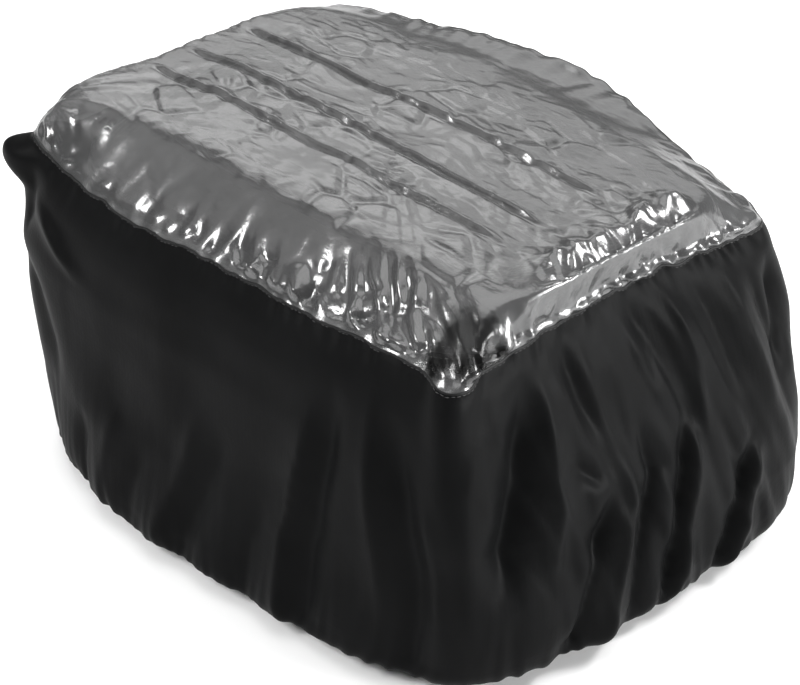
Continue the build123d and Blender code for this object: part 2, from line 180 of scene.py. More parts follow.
def subdivide(obj, levels=1):
    modifier = obj.modifiers.new("subdivide", "SUBSURF")
    modifier.levels = modifier.render_levels = levels
    return modifier


def apply_modifiers(obj):
    """Bakes the modifiers into the mesh."""
    graph = bpy.context.evaluated_depsgraph_get()
    mesh = bpy.data.meshes.new_from_object(obj.evaluated_get(graph))
    obj.modifiers.clear()
    obj.data = mesh
    return obj


def run_along(path):
    """The distance along a line of points to each of them."""
    return np.r_[0, np.cumsum(np.linalg.norm(np.diff(path, axis=0), axis=1))]


def points_at(at, run, path):
    """Points at some distances along a line, run being the distances of its own points."""
    return np.column_stack([np.interp(at, run, path[:, k]) for k in range(path.shape[1])])


def joined(line):
    """A closed line's points with the first repeated at its end."""
    return np.vstack([line, line[:1]])


def line_of(x, y, z):
    """Points with these coordinates, each a number or an array."""
    return np.column_stack(np.broadcast_arrays(np.asarray(x, float), y, z))


def smoothstep(x, low=0.0, high=1.0):
    t = np.clip((np.asarray(x, float) - low) / (high - low), 0, 1)
    return t * t * (3 - 2 * t)


def loop_from_eighths(first, second, per, shift_x, shift_y):
    """A closed loop of 8 * per points, counterclockwise from +X, from its first two eighths as dense lines."""
    points = []
    for half in (first, second):
        run = np.r_[0, np.cumsum(np.hypot(*np.diff(half, axis=0).T))]
        at = np.linspace(0, run[-1], per + 1)[:-1]
        points.append(np.stack([np.interp(at, run, half[:, 0]), np.interp(at, run, half[:, 1])], 1))
    quarter = np.concatenate(points)
    side = (np.vstack([quarter, second[-1:]])[::-1] * [-1, 1])[:-1]
    half = np.vstack([quarter, side])
    return np.vstack([half, -half]) + [shift_x, shift_y]


def superellipse(a, b, n, per, shift_x=0.0, shift_y=0.0):
    """A superellipse loop whose corners fall on odd multiples of per."""
    share = np.linspace(0, 2 ** (-1 / n), 400)
    first = np.stack([a * (1 - share**n) ** (1 / n), b * share], 1)
    second = np.stack([a * share[::-1], b * (1 - share[::-1] ** n) ** (1 / n)], 1)
    return loop_from_eighths(first, second, per, shift_x, shift_y)


def rounded(a, b, radius, per, shift_x=0.0):
    """A rounded rectangle loop with half sizes a and b, whose corners' middles fall on odd multiples of per."""
    turn = np.linspace(0, math.pi / 4, 12)
    rise = np.column_stack([a - radius + radius * np.cos(turn), b - radius + radius * np.sin(turn)])
    turn = turn + math.pi / 4
    fall = np.column_stack([a - radius + radius * np.cos(turn), b - radius + radius * np.sin(turn)])
    return loop_from_eighths(np.vstack([[[a, 0]], rise]), np.vstack([fall, [[0, b]]]), per, shift_x, 0.0)


def at_height(loop, z):
    return np.column_stack([loop, np.broadcast_to(z, len(loop))])


def stack(outline, profile, *per):
    """An outline's loops at each (height, inset) of a profile."""
    return np.array([at_height(outline(z, inset, *per), z) for z, inset in profile])


def patch(rim, rim_at, new_at, middle, height):
    """Fills a loop of 8 * per points with a square grid, so that no point has more than four faces.

    rim_at and new_at are the indices of the loop's and the patch's first points. height(x, y, across) gives
    the heights, across being 0 in the middle and 1 on the loop. Returns new points, faces and across."""
    cols = len(rim)
    per = cols // 8
    index, points, across = {}, [], []
    for i in range(-per, per + 1):
        for j in range(-per, per + 1):
            ring = max(abs(i), abs(j))
            if ring == 0:
                place = 0.0
            elif abs(i) == ring:
                place = j / ring * per if i > 0 else 4 * per - j / ring * per
            else:
                place = 2 * per - i / ring * per if j > 0 else 6 * per + i / ring * per
            if ring == per:
                index[i, j] = rim_at + int(round(place)) % cols
                continue
            low = math.floor(place)
            edge = rim[low % cols, :2] * (1 - place + low) + rim[(low + 1) % cols, :2] * (place - low)
            index[i, j] = new_at + len(points)
            points.append((*(middle + (edge - middle) * ring / per), 0.0))
            across.append(ring / per)
    points, across = np.array(points, float), np.array(across)
    points[:, 2] = height(points[:, 0], points[:, 1], across)
    steps = range(-per, per)
    faces = [(index[i, j], index[i + 1, j], index[i + 1, j + 1], index[i, j + 1]) for i in steps for j in steps]
    return points, faces, across


def dome(loops, middle, height):
    """An open cap: closed loops from its edge inwards, then a patch. Also gives each point's loop index."""
    rows, cols = loops.shape[:2]
    inner, faces, across = patch(loops[-1], (rows - 1) * cols, rows * cols, middle, height)
    points = np.vstack([loops.reshape(-1, 3), inner])
    depth = np.r_[np.repeat(np.arange(rows), cols), rows - across]
    return points, [face[::-1] for face in grid_faces(rows, cols)] + faces, depth


def closed_form(name, loops, middle, first_height, last_height, material):
    """A closed solid: a patch over the first loop, the loops, and a patch over the last one."""
    rows, cols = loops.shape[:2]
    count = rows * cols
    last, last_faces, _ = patch(loops[-1], (rows - 1) * cols, count, middle, last_height)
    first, first_faces, _ = patch(loops[0], 0, count + len(last), middle, first_height)
    points = np.vstack([loops.reshape(-1, 3), last, first])
    faces = grid_faces(rows, cols) + last_faces + [face[::-1] for face in first_faces]
    obj = new_object(name, points, faces, material)
    face_outwards(obj)
    return obj


def point_normals(points, faces):
    """Unit normals of a mesh of four-sided faces."""
    corner = np.array(faces)
    flat = np.cross(points[corner[:, 2]] - points[corner[:, 0]], points[corner[:, 3]] - points[corner[:, 1]])
    total = np.zeros_like(points)
    for k in range(4):
        np.add.at(total, corner[:, k], flat)
    return total / np.maximum(np.linalg.norm(total, axis=1, keepdims=True), 1e-9)


def soften(points, faces, weight, rounds):
    """Moves points towards the middle of their neighbours by weight, some rounds over."""
    corner = np.array(faces)
    start, end = corner.ravel(), np.roll(corner, -1, 1).ravel()
    start, end = np.r_[start, end], np.r_[end, start]
    count = np.bincount(start, minlength=len(points))[:, None]
    for _ in range(rounds):
        mean = np.column_stack([np.bincount(start, points[end, k], len(points)) for k in range(3)]) / count
        points += 0.6 * weight[:, None] * (mean - points)


def grid_normals(grid, closed=True):
    """Unit normals of a sheet, pointing out when its rows go down a counterclockwise loop."""
    down = np.gradient(grid, axis=0)
    if closed:
        along = (np.roll(grid, -1, 1) - np.roll(grid, 1, 1)) / 2
    else:
        along = np.gradient(grid, axis=1)
    normal = np.cross(down, along)
    return normal / np.maximum(np.linalg.norm(normal, axis=2, keepdims=True), 1e-9)


class Waves:
    """Smooth random field: a seeded sum of cosines whose wavelengths run from short to long (mm)."""

    def __init__(self, seed, short, long, count=24, stretch=(1.0, 1.0)):
        random = np.random.default_rng(seed)
        length = np.exp(random.uniform(math.log(short), math.log(long), count))
        angle = random.uniform(0, 2 * math.pi, count)
        self.kx = 2 * math.pi * np.cos(angle) / length / stretch[0]
        self.ky = 2 * math.pi * np.sin(angle) / length / stretch[1]
        self.phase = random.uniform(0, 2 * math.pi, count)
        self.weight = (length / long) ** 0.5
        self.weight /= math.sqrt((self.weight**2).sum() / 2)

    def __call__(self, x, y):
        total = np.zeros(np.broadcast(x, y).shape)
        for kx, ky, phase, weight in zip(self.kx, self.ky, self.phase, self.weight):
            total += weight * np.cos(kx * x + ky * y + phase)
        return total


# ---- Materials ----


def new_material(name):
    material = bpy.data.materials.new(name)
    material.use_nodes = True
    tree = material.node_tree
    return material, tree, tree.nodes["Principled BSDF"]


def add_node(tree, kind, **values):
    node = tree.nodes.new(kind)
    for key, value in values.items():
        if key in node.inputs:
            node.inputs[key].default_value = value
        else:
            setattr(node, key, value)
    return node


def ramp(tree, factor, low, high, at=(0.3, 0.7)):
    """A colour ramp from low to high."""
    node = tree.nodes.new("ShaderNodeValToRGB")
    for element, place, color in zip(node.color_ramp.elements, at, (low, high)):
        element.position = place
        element.color = (*color, 1)
    tree.links.new(factor, node.inputs["Fac"])
    return node.outputs["Color"]


def grey(value, tint=0.0):
    """A grey, a little blue if tint is above 0."""
    return (value * (1 - tint), value, value * (1 + tint))


def object_noise(tree, scale, detail=4.0, roughness=0.55, distortion=0.0, stretch=None):
    """Noise in the object's own coordinates, in cycles per metre."""
    coordinates = tree.nodes.new("ShaderNodeTexCoord")
    source = coordinates.outputs["Object"]
    if stretch:
        mapping = tree.nodes.new("ShaderNodeMapping")
        mapping.inputs["Scale"].default_value = stretch
        tree.links.new(source, mapping.inputs["Vector"])
        source = mapping.outputs["Vector"]
    noise = add_node(tree, "ShaderNodeTexNoise", Scale=scale, Detail=detail, Roughness=roughness, Distortion=distortion)
    tree.links.new(source, noise.inputs["Vector"])
    return noise.outputs["Fac"]


def weave_height(tree, threads_per_metre, coordinates="UV"):
    """Height of a plain weave: two crossed sets of threads, one over the other by turns."""
    source = tree.nodes.new("ShaderNodeTexCoord").outputs[coordinates]
    waves = []
    for axis in ("X", "Y"):
        wave = add_node(
            tree, "ShaderNodeTexWave", wave_type="BANDS", bands_direction=axis, wave_profile="SIN",
            Scale=threads_per_metre / 20, Distortion=0.0,
        )
        tree.links.new(source, wave.inputs["Vector"])
        waves.append(wave.outputs["Fac"])
    most = add_node(tree, "ShaderNodeMath", operation="MULTIPLY")
    tree.links.new(waves[0], most.inputs[0])
    tree.links.new(waves[1], most.inputs[1])
    return most.outputs["Value"]


def add_bump(tree, shader, heights):
    """Bumps from (height, distance in metres, strength), laid one over another."""
    last = None
    for height, distance, strength in heights:
        bump = add_node(tree, "ShaderNodeBump", Distance=distance, Strength=strength)
        tree.links.new(height, bump.inputs["Height"])
        if last:
            tree.links.new(last, bump.inputs["Normal"])
        last = bump.outputs["Normal"]
    tree.links.new(last, shader.inputs["Normal"])


def cloth_material(
    name, dark, light, roughness, threads=1200, weave=0.5, sheen=0.0, wrinkle=0.0, tint=0.02, coords="UV", gloss=0.5
):
    """Woven fabric with uneven dye, a thread-scale weave and fine creases."""
    material, tree, shader = new_material(name)
    patch = object_noise(tree, 14.0, 5.0, 0.6)
    tree.links.new(ramp(tree, patch, grey(dark, tint), grey(light, tint)), shader.inputs["Base Color"])
    shader.inputs["Roughness"].default_value = roughness
    shader.inputs["Specular IOR Level"].default_value = gloss
    shader.inputs["Sheen Weight"].default_value = sheen
    shader.inputs["Sheen Roughness"].default_value = 0.4
    heights = [(weave_height(tree, threads, coords), 0.0003, weave)]
    if wrinkle:
        heights.append((object_noise(tree, 60.0, 6.0, 0.6, 0.6), 0.002, wrinkle))
    add_bump(tree, shader, heights)
    return material


def uneven_gloss(tree, shader, low, high, noise):
    """A roughness that wanders between two values."""
    gloss = tree.nodes.new("ShaderNodeMapRange")
    gloss.inputs["To Min"].default_value = low
    gloss.inputs["To Max"].default_value = high
    tree.links.new(noise, gloss.inputs["Value"])
    tree.links.new(gloss.outputs["Result"], shader.inputs["Roughness"])


def plastic_material(name, dark, light, roughness, grain=0.3, scale=900.0, coat=0.0):
    """Moulded plastic or rubber with a fine grain and slightly uneven gloss."""
    material, tree, shader = new_material(name)
    tree.links.new(ramp(tree, object_noise(tree, 30.0), grey(dark), grey(light)), shader.inputs["Base Color"])
    uneven_gloss(tree, shader, roughness * 0.85, min(1.0, roughness * 1.2), object_noise(tree, 55.0, 3.0))
    shader.inputs["Coat Weight"].default_value = coat
    add_bump(tree, shader, [(object_noise(tree, scale, 2.0), 0.0003, grain)])
    return material


def metal_material(name, value, roughness):
    """Plated or lacquered metal with fine handling marks."""
    material, tree, shader = new_material(name)
    tree.links.new(ramp(tree, object_noise(tree, 80.0), grey(value * 0.8), grey(value)), shader.inputs["Base Color"])
    shader.inputs["Metallic"].default_value = 1.0
    shader.inputs["Roughness"].default_value = roughness
    add_bump(tree, shader, [(object_noise(tree, 500.0, 4.0, 0.6, 0.0, (1, 8, 1)), 0.0002, 0.25)])
    return material


def film_material(name, haze, alpha, roughness, crinkle, painted_dark_spot=None):
    """Clear PVC film: slightly cloudy, glossy, with fine crinkles. Round painted_dark_spot, in metres, it carries a
    painted dark patch (painted shade): its haze is darkened and it is made clearer there.
    """
    material, tree, shader = new_material(name)
    cloud = ramp(tree, object_noise(tree, 22.0, 6.0, 0.62, 0.8), grey(haze * 0.75, 0.01), grey(haze * 1.3, 0.01))
    # Painted shade: round this point the haze is darkened almost to black and the alpha lowered, a painted dark patch
    # on the film
    if painted_dark_spot:
        place = tree.nodes.new("ShaderNodeTexCoord").outputs["Object"]
        away = add_node(tree, "ShaderNodeVectorMath", operation="DISTANCE")
        away.inputs[1].default_value = painted_dark_spot
        tree.links.new(place, away.inputs[0])
        edge = add_node(tree, "ShaderNodeMath", operation="MULTIPLY_ADD")
        edge.inputs[1].default_value = 0.05
        tree.links.new(object_noise(tree, 45.0, 3.0), edge.inputs[0])
        tree.links.new(away.outputs["Value"], edge.inputs[2])
        painted_shade_factor = ramp(tree, edge.outputs["Value"], (0.05,) * 3, (1.0,) * 3, (0.042, 0.05))
        mix = add_node(tree, "ShaderNodeMix", data_type="RGBA", blend_type="MULTIPLY")
        mix.inputs["Factor"].default_value = 1.0
        tree.links.new(cloud, mix.inputs["A"])
        tree.links.new(painted_shade_factor, mix.inputs["B"])
        cloud = mix.outputs["Result"]
        clear = ramp(tree, edge.outputs["Value"], (0.2,) * 3, (alpha,) * 3, (0.042, 0.052))
        tree.links.new(clear, shader.inputs["Alpha"])
    else:
        shader.inputs["Alpha"].default_value = alpha
    shader.inputs["Specular IOR Level"].default_value = 1.0
    tree.links.new(cloud, shader.inputs["Base Color"])
    uneven_gloss(tree, shader, roughness * 0.6, roughness * 1.7, object_noise(tree, 34.0, 4.0, 0.6))
    long_crinkle = object_noise(tree, 34.0, 5.0, 0.55, 0.7, (0.8, 1.5, 1.3))
    fine_crinkle = object_noise(tree, 120.0, 3.0, 0.5, 0.6, (0.8, 1.8, 1))
    add_bump(tree, shader, [(long_crinkle, 0.0022, crinkle), (fine_crinkle, 0.0005, crinkle)])
    return material


MATERIAL = {
    "skirt": cloth_material("coated_nylon", 0.003, 0.005, 0.46, 1800, 0.07, 0.0, 0.15, 0.03, gloss=0.032),
    # The film's last value is where its painted dark patch (painted shade) sits, near the cover's near corner
    "film": film_material("clear_pvc", 0.045, 0.85, 0.185, 0.35, (0.186, -0.118, 0.224)),
    "bag": cloth_material("bag_nylon", 0.016, 0.026, 0.62, 900, 0.8, 0.25, 0.15),
    "bag_object": cloth_material("bag_nylon_lid", 0.016, 0.026, 0.62, 900, 0.8, 0.25, 0.15, coords="Object"),
    "bag_flat": cloth_material("bag_nylon_base", 0.016, 0.026, 0.62, 900, 0.8, 0.25, coords="Object"),
    "skirt_trim": cloth_material("coated_nylon_trim", 0.005, 0.008, 0.5, 1800, 0.2, 0.0, coords="Object", gloss=0.16),
    "lining": cloth_material("lining", 0.07, 0.10, 0.6, 1500, 0.5, 0.1, 0.3, coords="Object"),
    "tape": cloth_material("woven_tape", 0.014, 0.022, 0.7, 1100, 0.8, 0.2, coords="Object"),
    "webbing": cloth_material("webbing", 0.015, 0.024, 0.66, 700, 1.0, 0.3, coords="Object"),
    "piping": plastic_material("piping", 0.012, 0.018, 0.5, 0.4, 700.0),
    "rubber": plastic_material("rubber", 0.016, 0.024, 0.68, 0.5, 500.0),
    "plastic": plastic_material("moulded_plastic", 0.014, 0.02, 0.42, 0.35, 1200.0),
    "board": plastic_material("board_plastic", 0.03, 0.045, 0.5, 0.3, 400.0),
    "foam": plastic_material("foam", 0.06, 0.09, 0.9, 0.9, 900.0),
    "lacquer": plastic_material("lacquered_zinc", 0.014, 0.02, 0.28, 0.15, 500.0, 0.4),
    "steel": metal_material("plated_steel", 0.55, 0.35),
    "elastic": cloth_material("elastic", 0.02, 0.03, 0.7, 1400, 0.8, 0.2, coords="Object"),
    "thread": plastic_material("sewing_thread", 0.02, 0.03, 0.6, 0.5, 2500.0),
    "map_film": film_material("map_pvc", 0.12, 0.4, 0.12, 0.08),
}

# ---- The cover's seam: where the clear top is sewn to the skirt ----

SEAM_HALF_X, SEAM_HALF_Y, SEAM_POWER, SEAM_Z = 200.0, 136.0, 18.0, 215.0
PER = 44  # grid columns in each eighth of the way round
SIDES = (SEAM_HALF_Y, SEAM_HALF_X, SEAM_HALF_X, SEAM_HALF_Y) * 2
ROUND = sum(SIDES)


def seam_runs(per):
    """Each column's distance round the seam from the near corner (+X, -Y), positive towards +Y, in mm."""
    starts = np.r_[0, np.cumsum(SIDES)]
    runs = np.concatenate([starts[e] + np.arange(per) / per * SIDES[e] for e in range(8)])
    return (runs - starts[7] + ROUND / 2) % ROUND - ROUND / 2


def bell(x, centre, width):
    """A bell curve; x goes round the seam, so it wraps."""
    away = (np.asarray(x, float) - centre + ROUND / 2) % ROUND - ROUND / 2
    return np.exp(-((away / width) ** 2))


def seam_offset(s):
    """How far the seam stands out from and above its plain outline at s: it sags along the sides."""
    out = 8 * bell(s, -285, 85) + 5 * bell(s, -130, 90) - 6 * bell(s, 136, 80) + 29 * bell(s, 462, 110)
    out += 12 * bell(s, 0, 11) + 4 * bell(s, -402, 18) - 2 * bell(s, 800, 70)
    rise = -8 * bell(s, -285, 95) - 4 * bell(s, -130, 80) + 4 * bell(s, 136, 90) + 26.5 * bell(s, 520, 190)
    rise += 7 * bell(s, -402, 26) - 4 * bell(s, 0, 20) - 4 * bell(s, 272, 40)
    return out, rise


def seam_pucker(s):
    """The small in-and-out of the gathered seam, outwards and upwards."""
    pucker = Waves(5, 9, 26, 20)
    return 0.5 * pucker(s, 0 * s), 0.8 * pucker(s, 0 * s + 40)


def run_at(x, y):
    """The distance round the seam at the direction of x, y from the middle."""
    flat = superellipse(SEAM_HALF_X, SEAM_HALF_Y, SEAM_POWER, PER)
    turns = np.arctan2(flat[:, 1] / SEAM_HALF_Y, flat[:, 0] / SEAM_HALF_X) % (2 * math.pi)
    runs = (seam_runs(PER) - seam_runs(PER)[0]) % ROUND
    here = np.arctan2(y / SEAM_HALF_Y, x / SEAM_HALF_X) % (2 * math.pi)
    return np.interp(here, np.r_[turns, 2 * math.pi], np.r_[runs, ROUND]) + seam_runs(PER)[0]


def outward(loop):
    """Unit vectors that point out of a closed counterclockwise loop."""
    along = np.roll(loop, -1, 0) - np.roll(loop, 1, 0)
    along /= np.linalg.norm(along, axis=1, keepdims=True)
    return np.stack([along[:, 1], -along[:, 0]], 1)


def seam_loop(per):
    """The seam as 8 * per points in space."""
    flat = superellipse(SEAM_HALF_X, SEAM_HALF_Y, SEAM_POWER, per)
    out, rise = np.add(seam_offset(seam_runs(per)), seam_pucker(seam_runs(per)))
    return np.column_stack([flat + outward(flat) * out[:, None], SEAM_Z + rise])


# ---- Skirt ----

# Its plain shape going down: height, half length, half width, corner power, shift forwards, shift left.
SKIRT_SHAPE = (
    (215, 200, 136, 18.0, 0, 0),
    (200, 208, 145, 12.0, 0, 0),
    (180, 216, 154, 9.0, 0, 1),
    (150, 223, 163, 7.5, 0, 1),
    (120, 228, 166, 6.5, 3, 0),
    (90, 231, 168, 6.0, 6, 0),
    (60, 232, 171, 5.2, 8, -1),
    (30, 232, 176, 4.6, 9, -1),
    (16, 231, 177, 4.4, 9, -1),
    (8, 225, 172, 4.3, 7, -1),
    (4.5, 212, 158, 4.2, 4, 0),
    (3.2, 198, 143, 4.2, 0, 0),
    (2.9, 190, 135, 4.2, 0, 0),
)

# Folds: amplitude (mm, out of the surface), half width, and its line as (distance round the seam, height).
FOLDS = (
    (-7, 11, ((-80, 196), (-86, 143), (-103, 70), (-100, 6))),
    (5, 9, ((-96, 180), (-104, 130), (-122, 70), (-118, 6))),
    (-8, 13, ((-33, 190), (-27, 137), (-20, 60), (-22, 6))),
    (4, 9, ((-53, 203), (-50, 127), (-44, 40))),
    (4, 8, ((-12, 150), (-8, 90), (-4, 20))),
    (-4, 12, ((-172, 120), (-192, 60), (-215, 6))),
    (4, 12, ((-196, 125), (-214, 60), (-236, 8))),
    (-3, 10, ((-140, 90), (-150, 40), (-152, 5))),
    (-3, 12, ((-245, 80), (-258, 40), (-262, 5))),
    (3, 12, ((-280, 90), (-290, 40), (-292, 5))),
    (-3, 11, ((-318, 70), (-322, 30), (-322, 5))),
    (5, 12, ((30, 196), (12, 172), (9, 146), (8, 80), (12, 20))),
    (-13, 13, ((49, 206), (50, 168), (44, 138), (32, 105), (30, 60))),
    (6, 9, ((63, 200), (66, 165), (66, 120), (58, 70))),
    (-5, 6, ((80, 145), (88, 131), (100, 114))),
    (-10, 7, ((107, 120), (98, 98), (83, 60), (70, 6))),
    (6, 8, ((92, 92), (82, 60), (68, 20))),
    (-9, 6, ((127, 152), (136, 110), (124, 60), (114, 6))),
    (5, 7, ((116, 140), (117, 100), (103, 60), (92, 8))),
    (-9, 3.6, ((163, 144), (156, 98), (147, 50), (137, 5))),
    (6, 6, ((169, 138), (162, 98), (154, 50), (145, 6))),
    (-9, 3.8, ((209, 106), (200, 70), (190, 40), (179, 5))),
    (6, 6, ((215, 104), (207, 70), (197, 35), (187, 6))),
    (-4, 7, ((82, 212), (92, 172), (104, 140))),
    (-4, 7, ((139, 213), (146, 180), (150, 150))),
    (4, 6, ((168, 213), (176, 160), (174, 105))),
    (-3, 7, ((190, 212), (200, 160), (206, 120))),
    (4, 8, ((214, 212), (222, 150), (232, 95))),
    (-5, 8, ((232, 212), (244, 140), (254, 70))),
    (-9, 9, ((256, 205), (254, 150), (250, 110))),
    (15, 12, ((-404, 214), (-406, 203), (-410, 178))),
    (-6, 9, ((-384, 212), (-386, 185), (-392, 150))),
    (4, 14, ((-372, 190), (-350, 172), (-318, 150))),
    (-4, 14, ((-400, 150), (-380, 120), (-360, 60))),
)


FLOOR_CLEARANCE = 0.8  # the cloth's lowest height, mm

# Where the skirt leans off its plain shape: place and half width round the seam, push in mm, and its share
# of that push at falling heights.
SWAYS = (
    (-400, 140, (16, 17), (190, 130, 60, 16, 12.3, 8.1, 6.1, 3), (0, 0.3, 0.6, 0.68, 0.6, 0.35, 0.2, 0.15)),
    (272, 80, (5, 7), (170, 110, 60, 3), (0, 0.3, 1.0, 0.4)),
    (110, 80, (5, 0), (80, 30, 12, 3), (0, 1.0, 1.0, 0.2)),
    (-200, 90, (0, -5), (80, 30, 12, 3), (0, 1.0, 1.0, 0.2)),
)


def fold_depth(s, z):
    """The folds' height above the plain skirt at distance s round the seam and height z."""
    depth = np.zeros(np.broadcast(s, z).shape)
    for amplitude, width, line in FOLDS:
        run, high = np.array(line, float).T
        centre = np.interp(-z, -high, run)
        away = ((s - centre + ROUND / 2) % ROUND - ROUND / 2) / width
        fade = smoothstep(high[0] - z, 0, 0.25 * (high[0] - high[-1]) + 6)
        if high[-1] > 12:
            fade = fade * smoothstep(z - high[-1], 0, 0.3 * (high[0] - high[-1]) + 6)
        depth += 1.15 * amplitude * fade * np.exp(-np.abs(away) ** (1.15 if width <= 9 else 1.5))
    return depth


def skirt_grid(per, rows):
    """The skirt from its seam down, and in under the bag to the elastic, as a grid of points."""
    shape = np.array(SKIRT_SHAPE, float)
    run = np.r_[0, np.cumsum(np.hypot(np.diff(shape[:, 0]), np.diff(shape[:, 1])))]
    rows_at = np.linspace(0, run[-1], rows)
    values = np.stack([np.interp(rows_at, run, shape[:, k]) for k in range(6)], 1)
    for k in range(6):
        padded = np.pad(values[:, k], 2, mode="edge")
        values[1:-1, k] = np.convolve(padded, np.ones(5) / 5, "valid")[1:-1]
    grid = np.array([at_height(superellipse(a, b, n, per, cx, cy), z) for z, a, b, n, cx, cy in values])
    s = seam_runs(per)[None, :] + 0 * grid[..., 0]
    z = grid[..., 2].copy()
    side = outward(superellipse(SEAM_HALF_X, SEAM_HALF_Y, SEAM_POWER, per))
    for (out, rise), reach in ((seam_offset(seam_runs(per)), 60.0), (seam_pucker(seam_runs(per)), 9.0)):
        fade = np.exp(-(((SEAM_Z - z) / reach) ** 2))
        grid[..., :2] += side[None] * (out[None] * fade)[..., None]
        grid[..., 2] += rise[None] * fade
    facing = np.clip(-grid[..., 1] / 150, 0, 1) ** 4
    fills = smoothstep(170 - z, 0, 150) * smoothstep(z, 2, 14)
    grid[..., 1] -= 11 * np.exp(-(((grid[..., 0] + 85) / 105) ** 2)) * facing * fills
    for centre, width, (push_x, push_y), heights, shares in SWAYS:
        push = bell(s, centre, width) * np.interp(-z, -np.array(heights), shares)
        grid[..., 0] += push_x * push
        grid[..., 1] += push_y * push
    normal = grid_normals(grid)
    tuck = smoothstep(z, 3.0, 26)
    hidden = smoothstep(np.abs((s + 64 + ROUND / 2) % ROUND - ROUND / 2), 300, 380)
    slow = Waves(11, 60, 190, 16)
    depth = fold_depth(s, z) * tuck
    depth += (0.7 + 1.6 * hidden) * slow(s, 1.3 * z) * smoothstep(SEAM_Z - z, 4, 60) * tuck
    drape = Waves(23, 34, 90, 18, (1.0, 5.0))
    depth += (0.5 + 4.0 * hidden) * np.tanh(drape(s, z)) * smoothstep(SEAM_Z - z, 10, 110) * tuck
    streak = Waves(29, 15, 34, 18, (1.0, 7.0))
    slant = s - 0.28 * (SEAM_Z - z)
    depth += 1.5 * np.tanh(1.4 * streak(slant, z)) * bell(s, 150, 110) * smoothstep(SEAM_Z - z, 4, 40) * tuck
    gather = Waves(31, 9, 24, 22, (1.0, 9.0))
    ruffle = 1.0 - np.abs(np.clip(gather(s, z), -2, 2))
    depth += 1.9 * ruffle * np.exp(-np.maximum(z - 4, 0) / 26) * smoothstep(z, 2.9, 5.0)
    pucker = Waves(37, 7, 18, 22, (1.0, 3.0))
    depth += 0.5 * pucker(s, z) * np.exp(-(SEAM_Z - z) / 7) * smoothstep(SEAM_Z - z, 0, 5)
    grid += normal * depth[..., None]
    grid[..., 2] = np.maximum(grid[..., 2], FLOOR_CLEARANCE)
    return grid


def make_skirt():
    per = 56
    grid = skirt_grid(per, rows=96)
    grid[0] = seam_loop(per)
    skirt = grid_object("cover_skirt_cloth", grid, MATERIAL["skirt"])
    subdivide(skirt)
    apply_modifiers(skirt)
    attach(skirt, "cover")
    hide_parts("cover_skirt", "cover_hem")


# ---- Clear top ----

RIM_HALF_X, RIM_HALF_Y, RIM_POWER, RIM_SHIFT, RIM_Z = 195.0, 98.0, 5.6, 5.0, 249.0
CREASES = (-49.0, -16.0, 32.0)


def top_height(x, y, across):
    """Height of the clear top's plateau at x, y. across is 0 at its middle and 1 at its rim."""
    height = RIM_Z + 3.5 * (1 - np.clip(across, 0, 1) ** 2.6)
    band = np.interp(y, (-95, -49, -33, -16, 8, 32, 60, 95), (0, 0.9, -0.9, 0.9, -0.9, 0.9, -0.6, 0))
    return height + band * smoothstep(170 - np.abs(x), 0, 40)


def crumple(x, y, seed, count, size, stretch=1.3):
    """Facets and sharp ridges of a crumpled film: distance to the nearest of some scattered points."""
    random = np.random.default_rng(seed)
    points = random.uniform((-210, -150), (210, 150), (count, 2))
    nearest = np.full(x.shape, 1e9)
    second = np.full(x.shape, 1e9)
    for px, py in points:
        away = np.hypot(x - px, (y - py) * stretch)
        second = np.where(away < nearest, nearest, np.minimum(second, away))
        nearest = np.minimum(nearest, away)
    return np.clip((second - nearest) / size, 0, 1) - 0.4


